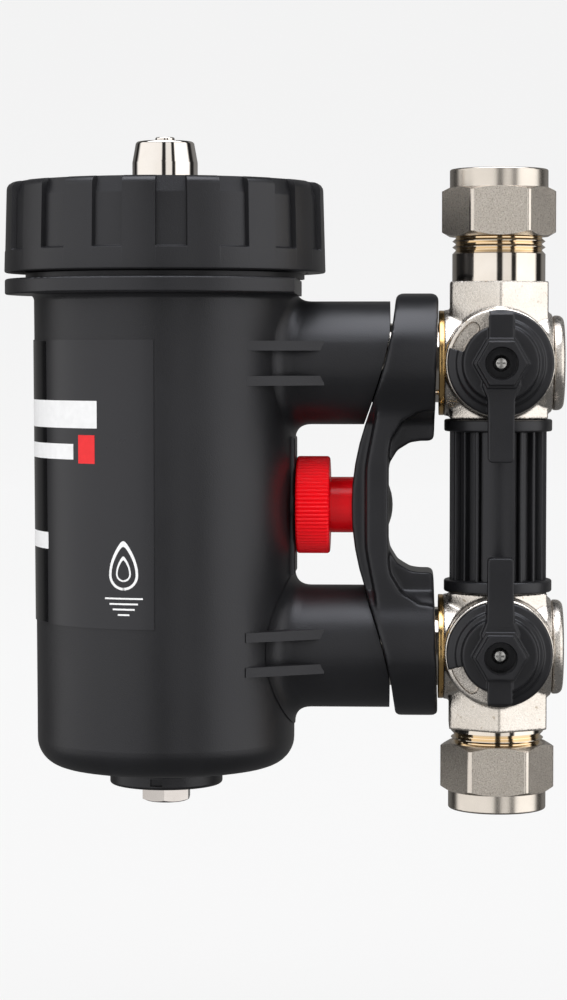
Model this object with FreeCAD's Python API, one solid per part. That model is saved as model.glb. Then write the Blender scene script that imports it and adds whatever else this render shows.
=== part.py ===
"""Magnetic system filter for a 22 mm heating pipe: a screw-lid canister on two ball valves.

Frame: millimetres, +Z up along the pipe, origin on the pipe axis at the mouth of the lower pipe
socket. The canister stands on the -X side and the valve handles face -Y.
"""
import FreeCAD, Part
import math
import os

from FreeCAD import Vector

# Driving dimensions ------------------------------------------------------------------------
PIPE_R = 11.0                 # 22 mm copper pipe
LOWER_PORT_Z = 49.5           # centre of the lower valve and port
PORT_PITCH = 86.5             # between the two ports
CANISTER_X = -101.5           # canister axis
CANISTER_R = 40.0             # outside, under the flange
CANISTER_WALL = 3.8
DRAFT = 0.6                   # the barrel is this much smaller at the bottom
LID_R = 48.9
LID_BOTTOM_Z = 163.2
LID_TOP_Z = 190.6
PORT_R = 18.7
SLEEVE_R = 21.1               # bridge sleeves
SPIGOT_R = 12.0               # valve spigots that the canister slides on to
NUT_FLATS = 30.4
THREAD_PITCH = 1.8
LID_PITCH = 4.0
GAP = 0.1                     # running clearance on a radius
REST_GAP = 0.05               # between faces that only rest on each other

UPPER_PORT_Z = LOWER_PORT_Z + PORT_PITCH
MID_Z = (LOWER_PORT_Z + UPPER_PORT_Z) / 2
BARREL_IN_R = CANISTER_R - CANISTER_WALL

X_AXIS = Vector(1, 0, 0)
Z_AXIS = Vector(0, 0, 1)


# Shape helpers -----------------------------------------------------------------------------
def corner(before, at, after, radius):
    """The two tangent points and the middle of the arc that rounds one corner of an outline."""
    a, p, b = (Vector(q[0], 0, q[1]) for q in (before, at, after))
    to_a, to_b = (a - p).normalize(), (b - p).normalize()
    half = to_a.getAngle(to_b) / 2
    reach = radius / math.tan(half)
    middle = (to_a + to_b).normalize() * (radius / math.sin(half) - radius)
    return p + to_a * reach, p + middle, p + to_b * reach


def outline(points):
    """A closed wire in the XZ plane through (x, z) or (x, z, corner radius) points."""
    spans = []
    count = len(points)
    for i, point in enumerate(points):
        if len(point) == 3 and point[2] > 0:
            spans.append(corner(points[i - 1], point, points[(i + 1) % count], point[2]))
        else:
            here = Vector(point[0], 0, point[1])
            spans.append((here, None, here))
    edges = []
    for i, (start, middle, end) in enumerate(spans):
        if middle is not None:
            edges.append(Part.Arc(start, middle, end).toShape())
        following = spans[(i + 1) % count][0]
        if (following - end).Length > 1e-6:
            edges.append(Part.LineSegment(end, following).toShape())
    return Part.Wire(edges)


def place(shape, at, along):
    """Turns a shape drawn along +Z to point along another direction, and moves it."""
    shape.Placement = FreeCAD.Placement(Vector(*at), FreeCAD.Rotation(Z_AXIS, Vector(*along)))
    return shape


def turned(points, at=(0, 0, 0), along=(0, 0, 1)):
    """A turned piece: (radius, height) points spun about an axis."""
    solid = Part.Face(outline(points)).revolve(Vector(0, 0, 0), Z_AXIS, 360)
    return place(solid, at, along)


def rod(radius, length, at, along=(0, 0, 1)):
    return Part.makeCylinder(radius, length, Vector(*at), Vector(*along))


def ring(outer, inner, length, at, along=(0, 0, 1)):
    return rod(outer, length, at, along).cut(rod(inner, length, at, along))


def o_ring(mean_r, section_r, at, along=(0, 0, 1)):
    return place(Part.makeTorus(mean_r, section_r), at, along)


def slab(points, half_depth):
    """An XZ outline with thickness along Y, even about Y = 0."""
    face = Part.Face(outline(points))
    face.translate(Vector(0, -half_depth, 0))
    return face.extrude(Vector(0, 2 * half_depth, 0))


def box(low, high):
    size = [h - l for l, h in zip(low, high)]
    return Part.makeBox(*size, Vector(*low))


def hexagon(flats, length, at, along=(0, 0, 1), turn=0.0, round_r=0.0):
    """A six-sided prism. turn 0 puts a corner on the local X axis."""
    corner_r = flats / math.sqrt(3)
    points = []
    for side in range(6):
        angle = math.radians(60 * side + turn)
        points.append((corner_r * math.cos(angle), corner_r * math.sin(angle), round_r))
    face = Part.Face(outline(points))
    prism = face.extrude(Vector(0, -length, 0))
    prism.rotate(Vector(0, 0, 0), X_AXIS, -90)
    lowest = prism.BoundBox.ZMin
    prism.translate(Vector(0, 0, -lowest))
    return place_solid(prism, at, along)


def place_solid(shape, at, along):
    """Like place, for a shape that already carries a placement."""
    turn = FreeCAD.Placement(Vector(*at), FreeCAD.Rotation(Z_AXIS, Vector(*along)))
    return shape.transformGeometry(turn.toMatrix())


def around(shape, angle, centre=(0, 0, 0), axis=Z_AXIS):
    """A copy turned about an axis."""
    copy = shape.copy()
    copy.rotate(Vector(*centre), axis, angle)
    return copy


def mirrored(shape):
    """The same piece for the lower valve: reflected about the middle height."""
    return shape.mirror(Vector(0, 0, MID_Z), Z_AXIS)


def fused(shapes):
    """One solid from overlapping ones, seams between smooth faces kept."""
    return shapes[0].fuse(shapes[1:])


def joined(shapes):
    """One solid from overlapping ones, seams between smooth faces removed."""
    return fused(shapes).removeSplitter()


NODES = {}


def node(name, *solids):
    """Keeps one sub-part: a single solid, or a group of separate ones."""
    found = [s for shape in solids for s in shape.Solids]
    NODES[name] = found[0] if len(found) == 1 else Part.makeCompound(found)


# Canister ----------------------------------------------------------------------------------
BRIDGE_HALF_HEIGHT = PORT_PITCH / 2 + SLEEVE_R
BRIDGE_TOP_LEFT_X = -31.0     # the bridge's left edge, which the port ends are cut to follow
BRIDGE_HOLLOW = (-32.8, 46.6, 110.0)   # x, height above the middle and radius where it curves in
BRIDGE_BOW = (-44.4, 12.9, 76.0)       # the same where it bows out round the knob's shaft
PORT_END_X = -32.9            # the port tube is cut square here
BRIDGE_RIGHT_X = -18.2
COLLAR_R = 17.3
COLLAR_BOTTOM_Z = 7.0
BARREL_BOTTOM_Z = 14.0
FLANGE_R = 48.8
FLANGE_Z = (156.7, 161.4)
FLANGE_FLAT = 40.6            # the flange is cut off at this distance on the pipe side
NECK_R = 42.5
NECK_THREAD_R = 43.4
NECK_TOP_Z = 180.0
NECK_IN_R = 38.6
LEDGE_Z = 166.0               # the cartridge flange rests here
PORT_BORE_R = SPIGOT_R + GAP
PORT_HOLLOW_R = 15.4
PORT_HOLLOW_X = -53.5         # the port narrows to its sealing bore here
RIB_THICK = 2.9
RIB_OFFSET = 5.2
PAD_X = -61.5
STUD_R = 4.9
STUD_HEAD_X = PAD_X - 7.0
STUD_TIP_X = -37.5
STUD_HEAD_FLATS = 13.0
STUD_HEAD_THICK = 2.5
DRAIN_R = 7.0                 # drain insert, outside
DRAIN_BORE_R = 5.0
LABEL_Z = (58.0, 143.0)
LABEL_THICK = 0.25
LABEL_ANGLE = 165.0           # from the front, round the side away from the pipe


def bridge_left_edge(offset=0.0):
    """Left outline of the bridge from the top to the bottom, moved left by an offset."""
    upper = [(BRIDGE_TOP_LEFT_X, BRIDGE_HALF_HEIGHT, 1.5), BRIDGE_HOLLOW, BRIDGE_BOW]
    lower = [(x, -height, radius) for x, height, radius in reversed(upper)]
    return [(x - offset, MID_Z + height, radius) for x, height, radius in upper + lower]


def barrel_profile():
    """Outside and inside of the moulded canister, without its ports."""
    threads = []
    z = FLANGE_Z[1] + 1.6
    while z + LID_PITCH < NECK_TOP_Z:
        threads += [(NECK_R, z), (NECK_THREAD_R, z + 0.7)]
        threads += [(NECK_THREAD_R, z + 1.5), (NECK_R, z + 2.2)]
        z += LID_PITCH
    outside = [
        (DRAIN_R, COLLAR_BOTTOM_Z),
        (COLLAR_R, COLLAR_BOTTOM_Z, 0.9),
        (COLLAR_R, BARREL_BOTTOM_Z - 2.6, 0.8),
        (CANISTER_R - DRAFT, BARREL_BOTTOM_Z, 8.5),
        (CANISTER_R, FLANGE_Z[0], 1.8),
        (FLANGE_R, FLANGE_Z[0], 0.6),
        (FLANGE_R, FLANGE_Z[1], 0.8),
        (NECK_R, FLANGE_Z[1]),
    ]
    inside = [
        (NECK_R, NECK_TOP_Z, 0.6),
        (NECK_IN_R, NECK_TOP_Z, 0.6),
        (NECK_IN_R, LEDGE_Z),
        (BARREL_IN_R, LEDGE_Z),
        (BARREL_IN_R - DRAFT, BARREL_BOTTOM_Z + 4.0, 5.5),
        (DRAIN_R, BARREL_BOTTOM_Z + 1.5),
    ]
    return outside + threads + inside


def port(z):
    """One port tube, its end cut to follow the bridge, and its two pairs of ribs."""
    start = CANISTER_X + 20
    tube = rod(PORT_R, PORT_END_X - start, (start, 0, z), (1, 0, 0))
    edge = bridge_left_edge(0.45)
    far = -120.0
    keep = slab([(far, edge[0][1])] + edge + [(far, edge[-1][1])], 30)
    tube = tube.common(keep)
    ribs = []
    for side in (-1, 1):
        for offset in (-RIB_OFFSET, RIB_OFFSET):
            plan = [(-75.2, 29.9), (-52.4, 17.7), (-52.4, 8.0), (-80.0, 8.0)]
            points = [Vector(x, side * y, z + offset - RIB_THICK / 2) for x, y in plan]
            face = Part.Face(Part.makePolygon(points + points[:1]))
            ribs.append(face.extrude(Vector(0, 0, RIB_THICK)))
    return joined([tube] + ribs)


def stud_pad():
    """Flat pad between the ports, with the boss inside the wall that holds the captive stud."""
    pad = box((CANISTER_X + BARREL_IN_R, -9.0, MID_Z - 21.0), (PAD_X, 9.0, MID_Z + 21.0))
    pad = pad.makeFillet(1.0, [e for e in pad.Edges if abs(e.CenterOfMass.x - PAD_X) < 0.01])
    boss = rod(9.5, 9.0, (PAD_X - 9.5, 0, MID_Z), (1, 0, 0))
    return pad, boss


def canister_body():
    barrel = Part.Face(outline(barrel_profile())).revolve(Vector(0, 0, 0), Z_AXIS, 360)
    barrel.translate(Vector(CANISTER_X, 0, 0))
    flat = CANISTER_X + FLANGE_FLAT
    barrel = barrel.cut(box((flat, -50, FLANGE_Z[0] - 0.2), (flat + 20, 50, FLANGE_Z[1] + 0.01)))
    inside = rod(BARREL_IN_R - DRAFT, 140, (CANISTER_X, 0, BARREL_BOTTOM_Z + 8))
    pad, boss = stud_pad()
    added = joined([port(UPPER_PORT_Z), port(LOWER_PORT_Z), pad]).cut(inside)
    body = joined([barrel, added, boss])
    for z in (UPPER_PORT_Z, LOWER_PORT_Z):
        body = body.cut(rod(PORT_BORE_R, 60, (PORT_HOLLOW_X - 2, 0, z), (1, 0, 0)))
        hollow_start = CANISTER_X + 25
        hollow = rod(PORT_HOLLOW_R, PORT_HOLLOW_X - hollow_start, (hollow_start, 0, z), (1, 0, 0))
        body = body.cut(hollow)
    body = body.cut(stud_shape(REST_GAP))
    slot = box((CANISTER_X - 3.4, -COLLAR_R - 1, COLLAR_BOTTOM_Z + 1.2),
               (CANISTER_X + 0.2, -COLLAR_R + 1.2, COLLAR_BOTTOM_Z + 3.4))
    return body.cut(slot)


def stud_shape(grow=0.0):
    """Steel stud moulded into the canister wall by its hexagonal head."""
    head = hexagon(STUD_HEAD_FLATS + 2 * grow, STUD_HEAD_THICK + 2 * grow,
                   (STUD_HEAD_X - grow, 0, MID_Z), (1, 0, 0))
    shank = rod(STUD_R + grow, STUD_TIP_X - STUD_HEAD_X, (STUD_HEAD_X, 0, MID_Z), (1, 0, 0))
    return head.fuse(shank)


def stud_with_thread():
    """The stud as made: the shank outside the wall is threaded and its tip is chamfered."""
    crest, root = STUD_R, STUD_R - 0.55
    start = PAD_X - STUD_HEAD_X
    length = STUD_TIP_X - STUD_HEAD_X
    points = [(0, 0), (crest, 0), (crest, start)]
    h = start + 1.0
    while h + 3.0 < length - 1.0:
        points += [(crest, h), (root, h + 0.8), (root, h + 2.0), (crest, h + 2.8)]
        h += 3.0
    points += [(crest, length - 0.8), (crest - 0.8, length), (0, length)]
    shank = turned(points, (STUD_HEAD_X, 0, MID_Z), (1, 0, 0))
    head = hexagon(STUD_HEAD_FLATS, STUD_HEAD_THICK, (STUD_HEAD_X, 0, MID_Z), (1, 0, 0))
    return joined([head, shank])


def label():
    """Printed film wrapped on the barrel."""
    def radius(z):
        share = (FLANGE_Z[0] - z) / (FLANGE_Z[0] - BARREL_BOTTOM_Z)
        return CANISTER_R - DRAFT * share + 0.03
    low, high = LABEL_Z
    points = [
        Vector(radius(low), 0, low),
        Vector(radius(low) + LABEL_THICK, 0, low),
        Vector(radius(high) + LABEL_THICK, 0, high),
        Vector(radius(high), 0, high),
    ]
    face = Part.Face(Part.makePolygon(points + points[:1]))
    face.rotate(Vector(0, 0, 0), Z_AXIS, -90 - LABEL_ANGLE)
    film = face.revolve(Vector(0, 0, 0), Z_AXIS, LABEL_ANGLE)
    film.translate(Vector(CANISTER_X, 0, 0))
    return film


def build_canister():
    node("canister_body", canister_body())
    node("label", label())
    node("captive_stud", stud_with_thread())
    outer, low, seat, high = DRAIN_R - REST_GAP, COLLAR_BOTTOM_Z + 0.4, 8.6, BARREL_BOTTOM_Z + 1.2
    insert = turned([(DRAIN_BORE_R, seat), (6.3, seat), (6.3, low), (outer, low), (outer, high),
                     (DRAIN_BORE_R, high)], (CANISTER_X, 0, 0))
    node("drain_insert", insert)


# Magnet cartridge, lifts out of the canister -------------------------------------------------
SHEATH_R = 12.0
SHEATH_BOTTOM_Z = 22.0
SHEATH_FLANGE_Z = LEDGE_Z + REST_GAP
SHEATH_FLANGE = 3.0           # its thickness
SHEATH_COLLAR = 5.0           # the collar stands this far above the flange
CAGE_R = 29.0
CAGE_BARS = 4
MAGNET_R = 9.0
MAGNET_LENGTH = 18.0
POLE_LENGTH = 2.5
MAGNET_COUNT = 6
TIE_R = 2.0


def magnet_sheath():
    """Closed tube round the magnets, with the slotted flange that hangs it in the canister neck."""
    top = SHEATH_FLANGE_Z + SHEATH_FLANGE
    sheath = turned(
        [(0, SHEATH_BOTTOM_Z), (SHEATH_R, SHEATH_BOTTOM_Z, 4.0), (SHEATH_R, SHEATH_FLANGE_Z, 1.5),
         (NECK_IN_R - 0.4, SHEATH_FLANGE_Z), (NECK_IN_R - 0.4, top, 0.6), (15.0, top, 1.0),
         (15.0, top + SHEATH_COLLAR, 0.8), (MAGNET_R + 0.3, top + SHEATH_COLLAR),
         (MAGNET_R + 0.3, SHEATH_BOTTOM_Z + 2.0), (0, SHEATH_BOTTOM_Z + 2.0)],
        (CANISTER_X, 0, 0))
    window = box((CANISTER_X + 18, -5.5, SHEATH_FLANGE_Z - 1), (CANISTER_X + 33, 5.5, top + 1))
    for step in range(8):
        sheath = sheath.cut(around(window, 45 * step, (CANISTER_X, 0, 0)))
    return sheath


def collector_cage():
    """Open cage of rings and bars that the flow swirls round, clipped on the sheath."""
    low, high = SHEATH_BOTTOM_Z + 4, SHEATH_FLANGE_Z - 3
    hoop = 3.5
    pieces = []
    for z in (low, (low + high - hoop) / 2, high - hoop):
        pieces.append(ring(CAGE_R, CAGE_R - 3.0, hoop, (CANISTER_X, 0, z)))
        pieces.append(ring(SHEATH_R + 2.6, SHEATH_R + GAP, hoop, (CANISTER_X, 0, z)))
        spoke = box((CANISTER_X + SHEATH_R + 1, -1.2, z), (CANISTER_X + CAGE_R - 1, 1.2, z + hoop))
        pieces += [around(spoke, 360 / CAGE_BARS * s, (CANISTER_X, 0, 0)) for s in range(CAGE_BARS)]
    bar = box((CANISTER_X + CAGE_R - 2.8, -2.0, low), (CANISTER_X + CAGE_R - 0.4, 2.0, high))
    pieces += [around(bar, 360 / CAGE_BARS * s, (CANISTER_X, 0, 0)) for s in range(CAGE_BARS)]
    return joined(pieces)


def build_cartridge():
    node("magnet_sheath", magnet_sheath())
    magnets, poles = [], []
    z = SHEATH_BOTTOM_Z + 2.0 + REST_GAP
    for step in range(MAGNET_COUNT):
        poles.append(ring(MAGNET_R, TIE_R + REST_GAP, POLE_LENGTH, (CANISTER_X, 0, z)))
        z += POLE_LENGTH + REST_GAP
        magnets.append(ring(MAGNET_R, TIE_R + REST_GAP, MAGNET_LENGTH, (CANISTER_X, 0, z)))
        z += MAGNET_LENGTH + REST_GAP
    poles.append(ring(MAGNET_R, TIE_R + REST_GAP, POLE_LENGTH, (CANISTER_X, 0, z)))
    z += POLE_LENGTH + REST_GAP
    node("magnets", *magnets)
    node("pole_pieces", *poles)
    top = SHEATH_FLANGE_Z + SHEATH_FLANGE
    tie_start = SHEATH_BOTTOM_Z + 2.2
    node("magnet_tie_rod", rod(TIE_R, top - 1.8 - tie_start, (CANISTER_X, 0, tie_start)))
    rim, rim_z, cap_z = 13.0, top + SHEATH_COLLAR + REST_GAP, top + SHEATH_COLLAR + 1.6
    plug = turned(
        [(TIE_R + REST_GAP, z), (MAGNET_R, z), (MAGNET_R, rim_z), (rim, rim_z, 0.6), (rim, cap_z, 0.6),
         (0, cap_z), (0, top - 1.0), (TIE_R + REST_GAP, top - 1.0)],
        (CANISTER_X, 0, 0))
    node("magnet_plug", plug)
    node("collector_cage", collector_cage())


# Lid and bleed valve ---------------------------------------------------------------------------
GRIP_COUNT = 16
GRIP_ANGLE = 11.0
GRIP_DEPTH = 1.3
GRIP_FIRST = 7.1              # the first recess is this far round from the front
GRIP_Z = (170.1, 185.6)       # floor of the recess, and where it starts to lean in
LID_UNDER_Z = NECK_TOP_Z + 2.2
LID_DISH_R = 38.0
LID_BOSS_R = 13.0
BLEED_SEAT_R = 7.0
BLEED_STEM_R = 3.4
BLEED_R = 9.95
BLEED_Z = (LID_TOP_Z + 0.5, 196.8, 203.2)


def grip_recess():
    """One shallow panel cut in the lid's rim, leaning in at the top where it runs out."""
    low, slope, lean = GRIP_Z[0], GRIP_Z[1], 1.8
    inner, high = LID_R - GRIP_DEPTH, LID_TOP_Z + 1.0
    points = [(inner, low), (LID_R + 2, low), (LID_R + 2, high), (inner - lean, high), (inner, slope)]
    face = Part.Face(outline(points))
    face.rotate(Vector(0, 0, 0), Z_AXIS, -GRIP_ANGLE / 2)
    return face.revolve(Vector(0, 0, 0), Z_AXIS, GRIP_ANGLE)


def lid_profile():
    """Half section of the screw lid: rim, dished top with a central boss, and seal groove skirt."""
    under = LID_UNDER_Z
    skirt_r = NECK_IN_R - 0.4
    skirt_in_r, groove_r = skirt_r - 6.0, skirt_r - 2.2
    groove_low, groove_high, skirt_low = under - 5.4, under - 2.2, under - 7.0
    thread_r = NECK_THREAD_R + GAP
    dish_z = LID_TOP_Z - 2.4
    return [
        (thread_r, LID_BOTTOM_Z, 0.4), (LID_R, LID_BOTTOM_Z, 0.5), (LID_R, LID_TOP_Z, 2.2),
        (LID_DISH_R + 1.6, LID_TOP_Z, 0.6), (LID_DISH_R, dish_z, 0.8),
        (LID_BOSS_R + 1.5, dish_z, 1.2), (LID_BOSS_R, LID_TOP_Z, 0.6),
        (BLEED_SEAT_R, LID_TOP_Z), (BLEED_SEAT_R, under), (skirt_in_r, under), (skirt_in_r, skirt_low, 0.5),
        (skirt_r, skirt_low, 0.5), (skirt_r, groove_low), (groove_r, groove_low), (groove_r, groove_high),
        (skirt_r, groove_high), (skirt_r, under), (thread_r, under),
    ]


def lid():
    cap = turned(lid_profile())
    recess = grip_recess()
    for step in range(GRIP_COUNT):
        cap = cap.cut(around(recess, 360 / GRIP_COUNT * step - 90 + GRIP_FIRST))
    cap.translate(Vector(CANISTER_X, 0, 0))
    return cap


def bleed_knob():
    """Chromed hand knob of the bleed valve, with its small spout disc on top."""
    low, taper, top = BLEED_Z
    return turned(
        [(0, low - 6.0), (BLEED_STEM_R, low - 6.0, 0.6), (BLEED_STEM_R, low), (BLEED_R, low, 0.5),
         (BLEED_R, taper, 1.2), (BLEED_R - 1.15, top, 1.0), (3.0, top, 0.3), (2.9, top + 1.3, 0.4),
         (1.2, top + 1.3), (1.2, top - 3.0), (0, top - 3.0)],
        (CANISTER_X, 0, 0))


def build_lid():
    node("lid", lid())
    node("lid_o_ring", o_ring(NECK_IN_R - 1.35, 1.15, (CANISTER_X, 0, LID_UNDER_Z - 3.8)))
    low, high, ledge = LID_UNDER_Z + 0.6, LID_TOP_Z + 0.2, LID_TOP_Z - 1.6
    outer, cup_r, bore_r = BLEED_SEAT_R - REST_GAP, 5.6, BLEED_STEM_R + 0.2
    seat = turned([(bore_r, low), (outer, low), (outer, high), (cup_r, high), (cup_r, ledge),
                   (bore_r, ledge)], (CANISTER_X, 0, 0))
    node("bleed_seat", seat)
    node("bleed_o_ring", o_ring(4.5, 0.85, (CANISTER_X, 0, LID_TOP_Z - 0.6)))
    node("bleed_knob", bleed_knob())


# Drain plug ----------------------------------------------------------------------------------
def drain_plug():
    """Chromed hexagon plug that closes the drain, under the canister."""
    flats = 14.0
    low = 1.6
    head = hexagon(flats, COLLAR_BOTTOM_Z - 0.7 - low, (CANISTER_X, 0, low), turn=30)
    dome = turned([(0, low), (6.2, low, 0.6), (8.6, low + 1.1), (8.6, 7.6), (0, 7.6)], (CANISTER_X, 0, 0))
    washer = rod(7.4, 0.8, (CANISTER_X, 0, COLLAR_BOTTOM_Z - 0.85))
    shank = rod(DRAIN_BORE_R - GAP, 8.0, (CANISTER_X, 0, COLLAR_BOTTOM_Z - 0.3))
    return joined([head.common(dome), washer, shank])


def build_drain():
    node("drain_plug", drain_plug())
    node("drain_o_ring", o_ring(5.62, 0.62, (CANISTER_X, 0, COLLAR_BOTTOM_Z + 0.65)))


# Bridge, with the knob that draws the canister on to the valves --------------------------------
CIRCLIP_X = -29.6
SLEEVE_FLOOR_X = -28.0
BRIDGE_WEB_X = -33.3
BRIDGE_PLATE_REACH = 47.0     # the inner plate's end, above and below the middle
CAP_R = 10.6
KNOB_X = (-61.3, -51.1)
KNOB_R = 14.9
KNOB_SHAFT_R = 8.5
KNOB_END_X = -34.6


def bridge():
    """Moulded bridge: two sleeves on the valve spigots, joined by a bowed web."""
    half = BRIDGE_HALF_HEIGHT

    def right_side(web_z, round_r):
        """Right edge from bottom to top: sleeve end, scooped web, sleeve end."""
        lip_x = BRIDGE_RIGHT_X - 1.4
        return [(BRIDGE_RIGHT_X, MID_Z - half, 1.3), (lip_x, MID_Z - web_z, 1.0),
                (BRIDGE_WEB_X, MID_Z - web_z, round_r), (BRIDGE_WEB_X, MID_Z + web_z, round_r),
                (lip_x, MID_Z + web_z, 1.0), (BRIDGE_RIGHT_X, MID_Z + half, 1.3)]

    whole = slab(bridge_left_edge() + right_side(19.8, 8.5), 30)
    sleeves = [rod(SLEEVE_R, 40, (-52, 0, z), (1, 0, 0)) for z in (LOWER_PORT_Z, UPPER_PORT_Z)]
    core = box((-60, -11.0, LOWER_PORT_Z), (-15, 11.0, UPPER_PORT_Z))
    reach, scoop, bow = BRIDGE_PLATE_REACH, 29.5, 12.0
    plate_x, plate_right = -33.2, BRIDGE_RIGHT_X - 1.0
    plate_bow_x = plate_x - 6.8
    plate = slab(
        [(plate_x, MID_Z + reach), (plate_bow_x, MID_Z + bow, 30), (plate_bow_x, MID_Z - bow, 30),
         (plate_x, MID_Z - reach), (plate_right, MID_Z - reach), (plate_right, MID_Z - scoop),
         (BRIDGE_WEB_X, MID_Z - scoop, 14), (BRIDGE_WEB_X, MID_Z + scoop, 14),
         (plate_right, MID_Z + scoop), (plate_right, MID_Z + reach)], 16.5)
    spine = joined([sleeves[0], sleeves[1], core]).common(whole)
    body = joined([spine, plate])
    for z in (LOWER_PORT_Z, UPPER_PORT_Z):
        body = body.cut(rod(SPIGOT_R + GAP, 60, (-60, 0, z), (1, 0, 0)))
        body = body.cut(rod(16.0, SLEEVE_FLOOR_X + 60, (-60, 0, z), (1, 0, 0)))
    body = body.cut(rod(KNOB_SHAFT_R + GAP, 40, (-60, 0, MID_Z), (1, 0, 0)))
    return body.cut(rod(CAP_R, 10, (BRIDGE_WEB_X - 3.0, 0, MID_Z), (1, 0, 0)))


def red_knob():
    """Round hand knob and its smooth shaft, bored for the stud, with a circlip groove near its end."""
    left, right = KNOB_X
    length = KNOB_END_X - left
    head = right - left
    groove, bore_r = KNOB_SHAFT_R - 0.9, STUD_R + GAP + 0.1
    insert_r = 7.0
    profile = [(6.0, 0), (KNOB_R, 0, 1.4), (KNOB_R, head, 1.2), (KNOB_SHAFT_R, head),
               (KNOB_SHAFT_R, length - 1.5), (groove, length - 1.5), (groove, length - 0.2),
               (KNOB_SHAFT_R, length - 0.2), (KNOB_SHAFT_R, length), (0, length), (0, length - 2.0),
               (bore_r, length - 2.0), (bore_r, head + 2.0), (insert_r, head + 2.0), (insert_r, 2.0),
               (6.0, 2.0)]
    return turned(profile, (left, 0, MID_Z), (1, 0, 0))


def circlip(inner, outer, thick, at, gap_angle=50.0):
    """Open retaining ring on an X axis, its gap at the bottom."""
    clip = ring(outer, inner, thick, at, (1, 0, 0))
    reach = outer + 2
    half = math.radians(gap_angle / 2)
    x, y, z = at
    points = [Vector(x - 1, y, z), Vector(x - 1, y - reach * math.tan(half), z - reach),
              Vector(x - 1, y + reach * math.tan(half), z - reach)]
    wedge = Part.Face(Part.makePolygon(points + points[:1])).extrude(Vector(thick + 2, 0, 0))
    return clip.cut(wedge)


def build_bridge():
    node("bridge", bridge())
    node("red_knob", red_knob())
    left = KNOB_X[0]
    insert = ring(7.0 - REST_GAP, STUD_R + GAP, 10.0, (left + 2.1, 0, MID_Z), (1, 0, 0))
    node("knob_thread_insert", insert)
    groove_x = KNOB_END_X - 1.45
    node("knob_circlip", circlip(KNOB_SHAFT_R - 0.85, 10.2, 1.2, (groove_x, 0, MID_Z)))
    cap_r = CAP_R - REST_GAP
    cap = turned([(0, 0), (cap_r, 0), (cap_r, 0.9), (6.4, 0.95), (5.2, 1.35), (3.6, 1.85), (1.8, 2.15),
                  (0, 2.25)], (BRIDGE_WEB_X - 0.95, 0, MID_Z), (1, 0, 0))
    node("knob_cap", cap)


# Valves: drawn for the upper valve, mirrored for the lower one -----------------------------------
NECK_HEX = 29.5
THREAD_R = 14.05
SOCKET_R = PIPE_R + 0.1       # in the valve neck
OLIVE_IN_R = PIPE_R + 0.25
NUT_MOUTH_R = PIPE_R + 0.4
BALL_R = 12.4
PORT_HOLE_R = 8.0
HEX_TOP = 24.6                # above the ball centre
SOCKET_DEPTH = 17.0           # the pipe end stops on a shoulder this far inside the neck
NECK_BORE_R = PORT_HOLE_R + 1.0    # waterway between that shoulder and the ball
HEX_LOW = -17.0
UPPER_NECK = 48.0             # end of the upper valve's longer neck
LOWER_NECK = 39.6
NUT_HEX_H = 14.7
NUT_H = 20.3
BOSS_R = 16.3
BOSS_Y = -20.5
CROSS_END = 16.3              # end of the cross tube, on the plug's side
HANDLE_R = 15.9
HANDLE_Y = BOSS_Y - 0.4       # back face of the handle
STOP_R = 13.1                 # pitch radius of the stop groove in the boss face
STOP_FROM = 128.0             # visible end, from +X towards +Z
STOP_SWEEP = 104.0
SPIGOT_TIP = 34.0             # from the shoulder
NUT_OVERLAP = 9.8             # how far the nut reaches down the neck
OLIVE_H = 7.2
OLIVE_SEATED = 2.2            # how far the olive sits inside the neck
SQUARE = 5.9                  # drive square on the stem
STEM_R = 4.0
SCREW_R = 1.6


def neck_profile(start, relief, end):
    """Turned pipe neck: plain length, then thread, with the cone that the olive seats in."""
    crest, root = THREAD_R, THREAD_R - 0.95
    points = [(NECK_BORE_R, start), (crest + 0.1, start), (crest + 0.1, relief)]
    h = relief
    while h + THREAD_PITCH < end - 0.6:
        points += [(root, h + 0.45 * THREAD_PITCH), (root, h + 0.6 * THREAD_PITCH)]
        points += [(crest, h + 0.95 * THREAD_PITCH)]
        h += THREAD_PITCH
    points += [(crest, end - 0.7), (crest - 0.7, end), (SOCKET_R + 2.0, end), (SOCKET_R, end - 3.4)]
    return points + [(SOCKET_R, end - SOCKET_DEPTH), (NECK_BORE_R, end - SOCKET_DEPTH)]


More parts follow.
